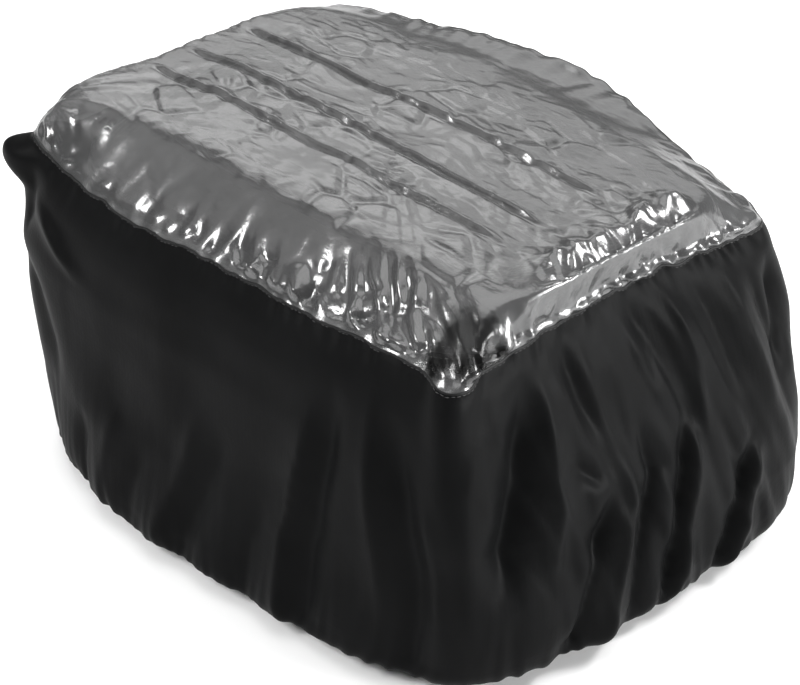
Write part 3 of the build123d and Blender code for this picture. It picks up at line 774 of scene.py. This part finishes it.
def film_bumps(x, y, out):
    """Fold lines, crumples and puckers of the clear top. out is 0 on the plateau and 1 at the seam."""
    run = run_at(x, y)
    plateau = smoothstep(0.25 - out, 0, 0.25)
    lines = np.zeros(x.shape)
    for place in CREASES:
        away = y - place - 1.2 * np.sin(x / 55 + place) - 0.5 * np.sin(x / 17 + place)
        lines += 2.3 * np.exp(-(((away - 1.9) / 1.7) ** 2)) - 2.5 * np.exp(-(((away + 1.9) / 1.6) ** 2))
    bump = lines * plateau * smoothstep(180 - np.abs(x), 0, 20) * smoothstep(160 - x, 0, 40)
    creased = Waves(8, 12, 50, 34, (1.7, 0.85))
    uneven = 0.55 + 0.45 * np.tanh(1.5 * Waves(61, 60, 120, 12)(x, y))
    bump += 0.22 * (1 - 2 * np.abs(np.clip(creased(x, y), -1, 1))) * plateau
    flat = np.abs(y) < 112
    facets = np.zeros(x.shape)
    facets[flat] = crumple(x[flat] + 0.6 * y[flat], y[flat], 17, 300, 10, 1.6)
    bump += 1.7 * facets * plateau * uneven
    near = 0.8 * bell(run, -150, 125) + 0.6 * bell(run, -30, 50)
    front = bell(run, 150, 100)
    far_left = bell(run, -400, 45)
    patchy = 0.55 + 0.75 * np.tanh(1.6 * Waves(63, 36, 90, 12)(x, y)) ** 2
    inside = smoothstep(0.97 - out, 0, 0.1)
    near_seam = np.exp(-(((1 - out) / (0.28 + 0.35 * bell(run, -30, 80))) ** 2))
    crumpled = 0.06 + (1.3 * near + 0.8 * front) * near_seam + 0.3 * far_left
    bump += 3.6 * crumple(x, y, 3, 300, 10) * (1 - plateau) * inside * crumpled * patchy
    pucker = Waves(41, 9, 22, 24, (1.0, 2.6))
    share = 0.12 + near + 0.8 * front + 0.2 * far_left
    bump += 3.8 * np.tanh(1.3 * pucker(run, out * 40)) * near_seam * inside * share * patchy
    soft = Waves(43, 40, 120, 16, (1.5, 1.0))
    bump += 0.6 * soft(x, y) * inside
    lumps = Waves(49, 12, 40, 14)(y, x)
    ridge = np.interp(x + 1.5 * lumps, (160, 172, 181, 184, 193, 196, 200), (0, 2, 5.6, 5.6, -1.2, -3.6, 0))
    over_handle = smoothstep(y, -70, -36) * smoothstep(76 - y, 0, 14) * smoothstep(0.1 - out, 0, 0.1)
    bump += ridge * (0.9 + 0.25 * lumps) * over_handle
    bump += 3.2 * np.exp(-(((out - 0.85) / 0.075) ** 2)) * bell(run, 170, 105) * np.clip(0.3 + patchy, 0, 1)
    from_pinch = np.hypot(x + 200, y + 122)
    rays = np.cos(15 * np.arctan2(y + 122, x + 200) + 1.0) + 0.6 * np.cos(23 * np.arctan2(y + 122, x + 200))
    return bump + 1.5 * rays * smoothstep(from_pinch, 6, 22) * np.exp(-from_pinch / 42) * inside


def make_top():
    flank_rings = 20
    seam = seam_loop(PER)
    rim = superellipse(RIM_HALF_X, RIM_HALF_Y, RIM_POWER, PER, RIM_SHIFT)
    rim += outward(rim) * (20 * bell(seam_runs(PER), -400, 48))[:, None]
    edge = top_height(rim[:, 0], rim[:, 1], np.ones(len(rim)))
    rows = []
    for i in range(flank_rings + 1):
        out = 1 - i / flank_rings
        xy = rim + (seam[:, :2] - rim) * out
        z = edge + (seam[:, 2] - edge) * out**1.25
        z -= 2.0 * np.sin(math.pi * out) ** 2 * (0.4 + 0.6 * np.abs(outward(rim)[:, 1]))
        rows.append(np.column_stack([xy, z]))
    points, faces, depth = dome(np.array(rows), np.array([RIM_SHIFT, 0.0]), top_height)
    x, y = points[:, 0], points[:, 1]
    out = np.clip(1 - depth / flank_rings, 0, 1)
    run = run_at(x, y)
    bump = 4.0 * np.sin(math.pi * np.clip(out, 0, 1)) * bell(run, -400, 50)
    points += point_normals(points, faces) * bump[:, None]
    soften(points, faces, np.exp(-((out / 0.2) ** 2)) * (depth < flank_rings + 0.12), 22)
    points[: 8 * PER] = seam
    top = new_object("cover_top_film", points, faces, MATERIAL["film"])
    top.data.attributes.new("out", "FLOAT", "POINT").data.foreach_set("value", out)
    subdivide(top)
    apply_modifiers(top)
    count = len(top.data.vertices)
    at, facing, out = np.empty(3 * count), np.empty(3 * count), np.empty(count)
    top.data.vertices.foreach_get("co", at)
    top.data.vertices.foreach_get("normal", facing)
    top.data.attributes["out"].data.foreach_get("value", out)
    at, facing = at.reshape(-1, 3) / MM, facing.reshape(-1, 3)
    at += facing * film_bumps(at[:, 0], at[:, 1], out)[:, None]
    top.data.vertices.foreach_set("co", (at * MM).ravel())
    top.data.update()
    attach(top, "cover")
    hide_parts("cover_window")


# ---- Ring, bar and stitch helpers ----


def ring_grid(loop, profile):
    """A profile of (out, up) points carried round a closed loop of points in space."""
    side = outward(loop[:, :2])
    grid = np.zeros((len(profile), len(loop), 3))
    grid[..., :2] = loop[None, :, :2] + side[None] * profile[:, None, :1]
    grid[..., 2] = loop[None, :, 2] + profile[:, None, 1]
    return grid


def oval(half_out, half_up, sides=12, power=2.0, centre=(0.0, 0.0)):
    """A rounded profile, going down on its outside."""
    turn = -np.linspace(0, 2 * math.pi, sides, endpoint=False)
    c, sn = np.cos(turn), np.sin(turn)
    size = (np.abs(c) ** power + np.abs(sn) ** power) ** (-1 / power)
    return np.column_stack([half_out * c * size + centre[0], half_up * sn * size + centre[1]])


def unit(vectors):
    return vectors / np.maximum(np.linalg.norm(vectors, axis=-1, keepdims=True), 1e-9)


def swept_bar(name, path, section, reference, material, closed=False, scale=None):
    """A bar with a flat section of (first, second) points along a path; reference points along first."""
    step = np.roll(path, -1, 0) - np.roll(path, 1, 0) if closed else np.gradient(path, axis=0)
    step = unit(step)
    reference = np.broadcast_to(np.asarray(reference, float), path.shape)
    first = unit(reference - (reference * step).sum(1)[:, None] * step)
    second = np.cross(step, first)
    size = np.ones(len(path)) if scale is None else scale
    grid = path[None] + size[None, :, None] * (section[:, :1, None] * first + section[:, 1:, None] * second)
    return grid_object(name, grid, material, closed, wrapped=True)


def smooth_path(points, count, rounds=4):
    """A line with its corners cut, as evenly spaced points."""
    line = np.asarray(points, float)
    for _ in range(rounds):
        cut = np.empty((2 * len(line) - 2, line.shape[1]))
        cut[0::2] = 0.75 * line[:-1] + 0.25 * line[1:]
        cut[1::2] = 0.25 * line[:-1] + 0.75 * line[1:]
        line = np.vstack([line[:1], cut, line[-1:]])
    run = run_along(line)
    at = np.linspace(0, run[-1], count)
    return points_at(at, run, line)


def rounded_ends(count, length, reach, smallest=0.25):
    """Scales for a bar along an even path, small at its two ends."""
    at = np.linspace(0, length, count)
    near_end = np.clip(1 - np.minimum(at, length - at) / reach, 0, 1)
    return np.maximum(np.sqrt(1 - near_end**2), smallest)


def stitches(name, rows, body, slot, pitch=4.2, length=3.0, radius=0.36):
    """Sewing thread: short rounded bars along rows of (points, normals), half sunk in the cloth."""
    along = np.array([-1.0, -0.72, 0, 0.72, 1.0]) * length / 2
    thick = np.array([0.15, 0.8, 1.0, 0.8, 0.15]) * radius
    turn = np.linspace(0, 2 * math.pi, 6, endpoint=False)
    points, faces = [], []
    base = 0
    for path, normals in rows:
        run = run_along(path)
        centres = np.arange(pitch / 2, run[-1] - pitch / 4, pitch)
        at = points_at(centres, run, path)
        ahead = points_at(centres + 1, run, path)
        behind = points_at(centres - 1, run, path)
        step = unit(ahead - behind)
        up = unit(points_at(centres, run, normals))
        across = unit(np.cross(step, up))
        up = np.cross(across, step)
        sink = -0.5 * radius * (2 * along / length) ** 2
        bars = at[:, None, None] + along[None, :, None, None] * step[:, None, None]
        bars = bars + (sink[:, None] + thick[:, None] * np.sin(turn))[None, ..., None] * up[:, None, None]
        bars = bars + (thick[:, None] * np.cos(turn))[None, ..., None] * across[:, None, None]
        for k in range(len(centres)):
            for i in range(4):
                for j in range(6):
                    n = (j + 1) % 6
                    faces.append((base + 6 * i + j, base + 6 * i + n, base + 6 * i + 6 + n, base + 6 * i + 6 + j))
            faces.append(tuple(base + 5 - j for j in range(6)))
            faces.append(tuple(base + 24 + j for j in range(6)))
            base += 30
        points.append(bars.reshape(-1, 3))
    obj = new_object(name, np.vstack(points), faces, MATERIAL["thread"])
    settle(obj, body, slot)
    return obj


def settle(obj, body, slot, *nodes, smooth=0):
    """What every piece gets: rounding, its body, and the CAD nodes it stands for hidden. slot is not used."""
    if smooth:
        subdivide(obj, smooth)
        apply_modifiers(obj)
    if body:
        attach(obj, body)
    if nodes:
        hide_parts(*nodes)
    return obj


def cord_loop(name, loop, radius, material, body, slot, node, twist=0.05, pitch=5.0):
    """Covered piping: a round cord whose cover is drawn in a little at each stitch."""
    grid = ring_grid(loop, oval(radius, radius, 10))
    run = run_along(loop)
    pull = 1 - twist * (0.5 + 0.5 * np.cos(2 * math.pi * run / pitch))
    grid = loop[None] + (grid - loop[None]) * pull[None, :, None]
    return settle(grid_object(name, grid, MATERIAL[material], wrapped=True), body, slot, node, smooth=1)


# ---- Bag base and walls ----

BASE_Z, ZIP_Z = 6.0, 200.0
WALL_LOW, WALL_HIGH = 8.2, 191.1
HINGE_HALF = 76.0
BAND_Z = 44.0  # the seam where the base band joins the walls


def body_loop(z, inset=0.0, per=PER):
    """The bag body's outline at height z, drawn in by inset."""
    share = (z - BASE_Z) / (ZIP_Z - BASE_Z)
    radius = 70 - 25 * share - inset
    return rounded(200 - 14 * share - inset, 146 - 23 * share - inset, radius, per)


def make_walls():
    outer = [(z, 0.0) for z in np.linspace(189.0, 10.0, 44)]
    foot = [(8.6, 0.5), (8.2, 1.2), (8.9, 1.9), (16.6, 2.0), (17.4, 2.6), (17.6, 8.2), (19.0, 9.0)]
    inner = [(z, 9.0) for z in np.linspace(26, 187.5, 16)]
    lip = [(190.3, 8.3), (191.0, 6.6), (191.1, 4.6), (191.0, 2.6), (190.4, 0.9)]
    profile = outer + foot + inner + lip
    grid = stack(body_loop, profile)
    s = seam_runs(PER)[None, :] + 0 * grid[..., 0]
    z = grid[..., 2].copy()
    rise = np.clip((z - WALL_LOW) / (WALL_HIGH - WALL_LOW), 0, 1)
    crown = 3.6 * np.sin(math.pi * rise) ** 0.7
    seams = np.array([PER * k for k in (1, 3, 5, 7)])
    away = np.min([np.abs((s - s[:, k : k + 1] + ROUND / 2) % ROUND - ROUND / 2) for k in seams], axis=0)
    crown *= 0.55 + 0.45 * smoothstep(away, 0, 60)
    crown -= 1.5 * np.exp(-((away / 3.2) ** 2)) * smoothstep(z, 8, 14)
    crown -= 1.3 * np.exp(-(((z - BAND_Z) / 2.8) ** 2))
    soft = Waves(61, 26, 110, 20, (1.4, 1.0))
    pucker = Waves(62, 7, 18, 18, (2.2, 1.0))
    crown += 0.55 * soft(s, z) * np.sin(math.pi * rise)
    crown += 0.35 * pucker(s, z) * (np.exp(-((away / 14) ** 2)) + np.exp(-(((z - BAND_Z) / 12) ** 2)))
    outside = (np.arange(len(profile)) < len(outer))[:, None]
    side = outward(body_loop(100.0))
    shift = np.where(outside, crown, 0)
    grid[..., :2] += side[None] * shift[..., None]
    walls = grid_object("bag_walls_padded", grid, MATERIAL["bag"], wrapped=True)
    settle(walls, "bag", "bag_fabric", "wall_outer", "wall_foam", smooth=1)
    outer_grid = grid[: len(outer)]
    normal = grid_normals(outer_grid)
    rows = []
    for k in seams:
        for step in (-1, 1):
            points = outer_grid[1:-1, k] + step * 4.2 * unit(outer_grid[1:-1, k + 1] - outer_grid[1:-1, k - 1])
            rows.append((points + 0.5 * normal[1:-1, k], normal[1:-1, k]))
    for row in (int(np.argmin(np.abs(z[: len(outer), 0] - BAND_Z - 4.5))), 1):
        points, normals = joined(outer_grid[row]), joined(normal[row])
        rows.append((points + 0.25 * normals, normals))
    stitches("bag_wall_stitches", rows, "bag", "bag_fabric")


def make_lining():
    """The grey lining of walls and floor, hanging a little loose."""
    heights = np.r_[np.linspace(190.6, 24, 30), 20.5, 18.9]
    insets = np.r_[np.full(30, 9.9), 11.0, 14.0]
    loops = stack(body_loop, zip(heights, insets))
    s, z = seam_runs(PER)[None, :], loops[..., 2]
    slack = Waves(71, 22, 80, 20, (1.0, 2.0))
    fall = 0.9 * (1 + np.tanh(slack(s, z))) * np.sin(math.pi * np.clip((z - 18) / 173, 0, 1)) ** 0.6
    loops[..., :2] -= outward(body_loop(100.0))[None] * fall[..., None]
    ripple = Waves(72, 24, 90, 20)
    points, faces, _ = dome(loops, np.zeros(2), lambda x, y, across: 18.5 + 0.25 * (1 + np.tanh(ripple(x, y))))
    lining = new_object("bag_lining_cloth", points, [f[::-1] for f in faces], MATERIAL["lining"])
    settle(lining, "bag", "lining_fabric", "wall_lining", "floor_lining", smooth=1)


def base_plate(name, profile, low, high, material):
    """A flat plate with the bag body's outline, between two heights."""
    loops = stack(body_loop, profile, 22)
    return closed_form(
        name, loops, np.zeros(2), lambda x, y, a: low + 0 * x, lambda x, y, a: high + 0 * x, MATERIAL[material]
    )


def make_base():
    profile = ((6.2, 1.2), (6.9, 0.2), (7.7, 0.2), (8.1, 1.4))
    panel = base_plate("base_panel_cloth", profile, 6.15, 8.1, "bag_flat")
    settle(panel, "bag", "bag_fabric", "base_panel", smooth=1)
    profile = ((12.4, 3.4), (13.2, 2.4), (14.8, 2.2), (16.4, 2.4), (17.2, 3.4))
    foam = base_plate("base_foam_padded", profile, 12.35, 17.2, "foam")
    settle(foam, "bag", "foam", "base_foam", smooth=1)
    loop = at_height(rounded(202, 148, 72, 3 * PER), 10.2)
    cord_loop("base_piping_cord", loop, 2.0, "piping", "bag", "piping_plastic", "base_piping")


# ---- Zip round the lid and its hinge ----


def hinge_gap(loop):
    """The columns of a loop that stop at the hinge on both sides."""
    away = np.flatnonzero((loop[:, 0] < 100) | (np.abs(loop[:, 1]) > HINGE_HALF + 1.5))
    return slice(away[0], away[-1] + 1)


def make_zip(level, z_tape, z_coil, body):
    """One side of the zip: a woven tape and a coil of teeth, open at the hinge."""
    s = seam_runs(PER)
    sway = 0.35 * np.tanh(Waves(81, 40, 140, 12)(s, 0 * s))
    loop = at_height(rounded(183.6, 120.6, 42.6, PER), z_tape)
    normal = outward(loop[:, :2])
    loop[:, :2] += normal * sway[:, None]
    grid = ring_grid(loop, oval(0.55, 4.25, 14, 6.0))[:, hinge_gap(loop)]
    tape = grid_object(f"zip_tape_{level}_cloth", grid, MATERIAL["tape"], closed=False, wrapped=True)
    settle(tape, body, "zip_tape", f"zip_tape_{level}", smooth=1)
    dense = at_height(rounded(184.2, 121.2, 43.2, 10 * PER), z_coil)
    dense_out = outward(dense[:, :2])[hinge_gap(dense)]
    dense = dense[hinge_gap(dense)]
    run = run_along(dense)
    pitch, turns_of_wire, points_per_turn = 2.4, 0.74, 9
    at = np.arange(0, run[-1], pitch / points_per_turn)
    turn = 2 * math.pi * at / pitch
    centre = points_at(at, run, dense)
    side = unit(points_at(at, run, dense_out))
    path = centre + np.column_stack([side * (turns_of_wire * np.cos(turn))[:, None], turns_of_wire * np.sin(turn)])
    reference = path - centre
    coil = swept_bar(f"zip_teeth_{level}", path, oval(0.33, 0.33, 5), reference, MATERIAL["plastic"])
    settle(coil, body, "zip_coil", f"zip_coil_{level}")
    line = np.column_stack([loop[:, :2] + 0.62 * normal, loop[:, 2] + (-0.8 if level == "lower" else 0.8)])
    part = hinge_gap(line)
    row = (line[part], np.column_stack([normal, 0 * s])[part])
    stitches(f"zip_tape_{level}_stitches", [row], body, "zip_tape", 3.2, 2.3, 0.28)


def make_zip_stops():
    """The moulded stops at the two ends of the zip's run, closed over the lower coil."""
    for side, name in ((-1, "right"), (1, "left")):
        x = np.linspace(136, 142, 24)
        path = line_of(x, side * 122.0, 198.3)
        scale = rounded_ends(len(x), 6, 1.2, 0.5) * (1 - 0.05 * np.cos(2 * math.pi * x / 1.5))
        section, material = oval(2.0, 1.5, 16, 4.0), MATERIAL["lacquer"]
        stop = swept_bar(f"zip_stop_{name}", path, section, (0, side, 0), material, scale=scale)
        settle(stop, "bag", "zip_metal", "zip_end_stops")


def make_hinge():
    heights = np.linspace(189.6, 210.4, 23)
    y = np.linspace(-HINGE_HALF - 3, HINGE_HALF + 3, 62)
    z, y = np.meshgrid(heights, y, indexing="ij")
    ripple = Waves(85, 12, 40, 14)
    x = 184.2 + 2.2 * np.exp(-(((z - ZIP_Z) / 4.5) ** 2)) + 0.25 * ripple(y, 2 * z)
    flap = grid_object("hinge_flap_cloth", np.stack([x, y, z], -1), MATERIAL["bag"], closed=False)
    settle(flap, None, "bag_fabric", "hinge_flap_lower", "hinge_flap_upper", smooth=1)
    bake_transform(flap)
    count = 160
    path = line_of(188.8, np.linspace(-HINGE_HALF, HINGE_HALF, count), ZIP_Z)
    pull = 1 - 0.06 * (0.5 + 0.5 * np.cos(2 * math.pi * path[:, 1] / 5.0))
    pull *= rounded_ends(count, 2 * HINGE_HALF, 1.8)
    cord = swept_bar("hinge_piping_cord", path, oval(1.8, 1.8, 12), (1, 0, 0), MATERIAL["piping"], scale=pull)
    settle(cord, "bag", "piping_plastic", "hinge_piping", smooth=1)


# ---- Lid ----

LID_LOW, LID_HIGH = 208.9, 240.0
LID_MIDDLE = np.array([11.0, 0.0])
POCKET_SHIFT = 19.0


def lid_loop(z, inset=0.0, per=PER):
    """The lid's outline at height z, drawn in by inset: a flank that leans in to a raised panel."""
    share = (z - LID_LOW) / (LID_HIGH - LID_LOW)
    low = rounded(185, 122, 45, per)
    high = superellipse(172, 96, 4.3, per, 11.0)
    loop = low + (high - low) * share
    return loop - outward(loop) * inset


def make_lid():
    inner = [(232.0, 12.0), (231.6, 9.6), (229.0, 8.3), (224.0, 8.0), (217.0, 8.0), (211.5, 7.8)]
    lip = [(209.4, 6.6), (208.9, 4.6), (208.9, 2.6), (209.4, 0.8)]
    outer = [(z, 0.0) for z in np.linspace(211.5, 236.5, 9)]
    shoulder = [(238.4, 0.4), (239.5, 1.6), (239.9, 3.6), (239.95, 8.0)]
    profile = inner + lip + outer + shoulder
    loops = stack(lid_loop, profile)
    s, z = seam_runs(PER)[None, :], loops[..., 2]
    outside = (np.arange(len(profile)) >= len(inner) + len(lip))[:, None] & (z < 238)
    rise = np.clip((z - LID_LOW) / (LID_HIGH - LID_LOW), 0, 1)
    soft = Waves(91, 24, 90, 18)
    pucker = Waves(92, 7, 16, 18, (1.0, 2.0))
    crown = 1.4 * np.sin(math.pi * rise) + 0.3 * soft(s, z) * np.sin(math.pi * rise)
    crown += 0.25 * pucker(s, z) * np.exp(-((240 - z) / 8) ** 2)
    loops[..., :2] += outward(lid_loop(225.0))[None] * np.where(outside, crown, 0)[..., None]
    dips = Waves(93, 40, 120, 14)
    top = lambda x, y, across: LID_HIGH - 0.1 - 0.25 * (1 + np.tanh(dips(x, y)))
    shell = closed_form(
        "lid_shell_padded", loops, LID_MIDDLE, lambda x, y, across: 232.0 + 0.0 * x, top, MATERIAL["bag_object"]
    )
    settle(shell, "lid", "bag_fabric", "lid_outer", "lid_foam", smooth=1)
    edge = at_height(lid_loop(LID_HIGH, 0.0, 3 * PER), 240.6)
    edge[:, :2] += outward(edge[:, :2]) * 0.4
    cord_loop("lid_piping_cord", edge, 2.0, "piping", "lid", "piping_plastic", "lid_piping")
    rows = []
    for z, inset in ((235.5, -0.9), (212.8, -0.6)):
        line = at_height(lid_loop(z, inset), z)
        normals = np.column_stack([outward(line[:, :2]), np.full(len(line), 0.3)])
        rows.append((joined(line), joined(normals)))
    stitches("lid_stitches", rows, "lid", "bag_fabric")


def make_lid_lining():
    heights = np.r_[np.linspace(209.4, 228, 7), 230.4, 231.3]
    insets = np.r_[np.full(7, 8.9), 10.0, 13.0]
    loops = stack(lid_loop, zip(heights, insets))
    slack = Waves(95, 26, 90, 18)
    points, faces, _ = dome(loops, LID_MIDDLE, lambda x, y, across: 231.3 - 0.35 * (1 + np.tanh(slack(x, y))))
    lining = new_object("lid_lining_cloth", points, [f[::-1] for f in faces], MATERIAL["lining"])
    settle(lining, "lid", "lining_fabric", "lid_lining", smooth=1)


# ---- Map pocket ----


def pocket_loop(inset, z, per=PER):
    return at_height(rounded(147 - inset, 78 - inset, 28 - inset, per, POCKET_SHIFT), z)


def make_pocket():
    grid = ring_grid(pocket_loop(2.5, 241.2), oval(2.5, 1.05, 14, 5.0))
    gusset = grid_object("map_pocket_gusset_cloth", grid, MATERIAL["tape"], wrapped=True)
    settle(gusset, "lid", "bag_fabric", "map_pocket_gusset", smooth=1)
    loops = np.array([pocket_loop(inset, 242.75) for inset in (1.0, 5.0, 9.0, 12.0)])
    wave = Waves(101, 30, 110, 16)
    fine = Waves(102, 8, 24, 20)
    middle = np.array([POCKET_SHIFT, 0.0])

    def height(x, y, across):
        slack = (1 - across**4) * (0.28 * np.tanh(wave(x, y)) + 0.07 * fine(x, y))
        return 242.75 + slack - 0.25 * (1 - across**2)

    points, faces, _ = dome(loops, middle, height)
    window = new_object("map_window_film", points, faces, MATERIAL["map_film"])
    settle(window, "lid", "map_window_clear", "map_window", smooth=1)
    loop = pocket_loop(6.0, 243.95)
    grid = ring_grid(loop, oval(6.0, 0.55, 20, 5.0))
    pucker = Waves(103, 6, 14, 18)
    run = seam_runs(PER)[None, :] + 0 * grid[..., 0]
    grid[..., 2] += 0.14 * pucker(run, grid[..., 1] * 0) * (grid[..., 2] > 243.95)
    binding = grid_object("map_binding_cloth", grid, MATERIAL["tape"], wrapped=True)
    settle(binding, "lid", "binding_fabric", "map_window_binding", smooth=1)
    rows = []
    for inset in (2.2, 9.6):
        line = pocket_loop(inset, 244.5)
        rows.append((joined(line), np.tile([0.0, 0.0, 1.0], (len(line) + 1, 1))))
    stitches("map_binding_stitches", rows, "lid", "binding_fabric", 3.6, 2.6, 0.3)


def make_map_zip():
    x, half = -147.0, 66.0
    y = np.linspace(-half, half, 90)
    rows = []
    for side in (-1, 1):
        centre = line_of(x + side * 3.6, y, 240.5)
        centre[:, 2] += 0.12 * np.sin(y / 7.0 + side)
        name = f"map_zip_tape_{'rear' if side < 0 else 'front'}"
        tape = swept_bar(name, centre, oval(2.4, 0.35, 12, 5.0), (1, 0, 0), MATERIAL["tape"])
        settle(tape, "lid", "zip_tape", "map_zip_tape", smooth=1)
        line = centre + [side * 1.2, 0, 0.42]
        rows.append((line, np.tile([0.0, 0.0, 1.0], (90, 1))))
    stitches("map_zip_stitches", rows, "lid", "zip_tape", 3.2, 2.3, 0.26)
    pitch = 1.5
    at = np.arange(-half + 2, half - 2, pitch / 9)
    turn = 2 * math.pi * at / pitch
    centre = line_of(x, at, 240.95)
    around = np.column_stack([0.85 * np.cos(turn), 0 * turn, 0.5 * np.sin(turn)])
    coil = swept_bar("map_zip_teeth", centre + around, oval(0.24, 0.24, 5), around, MATERIAL["plastic"])
    settle(coil, "lid", "zip_coil", "map_zip_coil")


# ---- Handle ----

HANDLE_X, PIN_Z, BOW_Z, BOW_HALF = 192.6, 219.0, 236.0, 60.5


def make_handle():
    route = [(-BOW_HALF, 217.2), (-BOW_HALF, 226), (-BOW_HALF, 235.4), (-52, BOW_Z), (-40, BOW_Z)]
    route = route + [(-y, z) for y, z in route[::-1]]
    flat = smooth_path(route, 140)
    path = np.column_stack([np.full(len(flat), HANDLE_X), flat])
    section = oval(1.15, 2.9, 16, 6.0)
    scale = rounded_ends(len(path), 160, 2.0, 0.5)
    strap = swept_bar("handle_strap", path, section, (1, 0, 0), MATERIAL["webbing"], scale=scale)
    settle(strap, "handle", "webbing", "handle_webbing", smooth=1)
    rows = []
    for side in (-1, 1):
        for rise in (-1.7, 1.7):
            y = side * np.linspace(40, 51, 12)
            rows.append((line_of(HANDLE_X + 1.2, y, BOW_Z + rise), np.tile([1.0, 0, 0], (12, 1))))
    stitches("handle_stitches", rows, "handle", "webbing", 3.0, 2.2, 0.3)
    count = 40
    rod = line_of(HANDLE_X, np.linspace(-61.5, 61.5, count), PIN_Z)
    scale = rounded_ends(count, 123, 1.5)
    pin = swept_bar("handle_pin", rod, oval(1.45, 1.45, 12), (1, 0, 0), MATERIAL["steel"], scale=scale)
    settle(pin, "handle", "webbing", "handle_webbing")
    count = 230
    y = np.linspace(-38, 38, count)
    ribs = 1 - 0.085 * (0.5 + 0.5 * np.cos(2 * math.pi * y / 4.0)) ** 2
    ribs *= rounded_ends(count, 76, 3.0, 0.45)
    bar = line_of(HANDLE_X, y, BOW_Z)
    grip = swept_bar("handle_grip_sleeve", bar, oval(3.95, 3.95, 28, 2.3), (1, 0, 0), MATERIAL["rubber"], scale=ribs)
    settle(grip, "handle", "grip_rubber", "handle_grip")


def make_anchors():
    rows = []
    for side in (-1, 1):
        y = side * 53.0
        turn = np.radians(np.linspace(-100, 100, 9))
        wrap = [(HANDLE_X + 2.25 * math.cos(t), PIN_Z + 2.25 * math.sin(t)) for t in turn]
        route = [(186.7, 212.6), (186.8, 215.5), (188.4, 216.6), *wrap, (188.4, 221.2), (186.9, 222.0), (186.6, 224.0)]
        flat = smooth_path(route, 60, 3)
        path = line_of(flat[:, 0], y, flat[:, 1])
        name = f"handle_anchor_{'left' if side > 0 else 'right'}"
        loop = swept_bar(name, path, oval(5.0, 0.5, 16, 6.0), (0, 1, 0), MATERIAL["webbing"])
        settle(loop, "lid", "webbing", "handle_anchors", smooth=1)
        for z in (213.4, 223.2):
            across = y + np.linspace(-4.2, 4.2, 9)
            rows.append((line_of(187.3, across, z), np.tile([1.0, 0, 0], (9, 1))))
    stitches("handle_anchor_stitches", rows, "lid", "webbing", 2.4, 1.8, 0.3)


# ---- The cover's seam and hem ----


def make_cover_trims():
    seam = seam_loop(PER)
    profile = oval(0.7, 1.5, 12, 3.0, centre=(0.0, -1.2))
    binding = grid_object("cover_seam_binding", ring_grid(seam, profile), MATERIAL["skirt_trim"], wrapped=True)
    settle(binding, "cover", "cover_nylon", "cover_seam_tape", smooth=1)
    line = seam + np.column_stack([0.85 * outward(seam[:, :2]), np.full(len(seam), -1.6)])
    normals = np.column_stack([outward(seam[:, :2]), np.zeros(len(seam))])
    rows = [(joined(line), joined(normals))]
    stitches("cover_seam_stitches", rows, "cover", "cover_nylon", 3.4, 2.5, 0.24)
    per = 3 * PER
    loop = at_height(rounded(190, 135, 74, per), 2.9)
    grid = ring_grid(loop, oval(2.15, 2.15, 12))
    run = run_along(loop)
    gather = Waves(111, 5, 12, 24, (1.0, 1.0))
    squeeze = 1 - 0.13 * (1 + np.tanh(1.5 * gather(run, 0 * run)))
    grid = loop[None] + (grid - loop[None]) * squeeze[None, :, None]
    channel = grid_object("cover_hem_channel_cloth", grid, MATERIAL["skirt_trim"], wrapped=True)
    settle(channel, "cover", "cover_nylon", "cover_hem_channel", smooth=1)
    cord_loop("cover_hem_elastic_cord", loop, 1.15, "elastic", "cover", "elastic", "cover_hem_elastic", 0.1, 2.5)


make_skirt()
make_top()
make_walls()
make_lining()
make_base()
make_zip("lower", 193.3, 198.8, "bag")
make_zip("upper", 206.4, 201.2, "lid")
make_zip_stops()
make_hinge()
make_lid()
make_lid_lining()
make_pocket()
make_map_zip()
make_handle()
make_anchors()
make_cover_trims()

for node, kind in (
    ("base_pad", "rubber"), ("base_board", "board"), ("base_magnets", "steel"),
    ("zip_slider_left", "lacquer"), ("zip_slider_right", "lacquer"), ("zip_pull_left", "plastic"),
    ("zip_pull_right", "plastic"), ("map_zip_slider", "lacquer"), ("map_zip_pull", "plastic"),
):
    obj = NODES[node]
    obj.data.materials.clear()
    obj.data.materials.append(MATERIAL[kind])
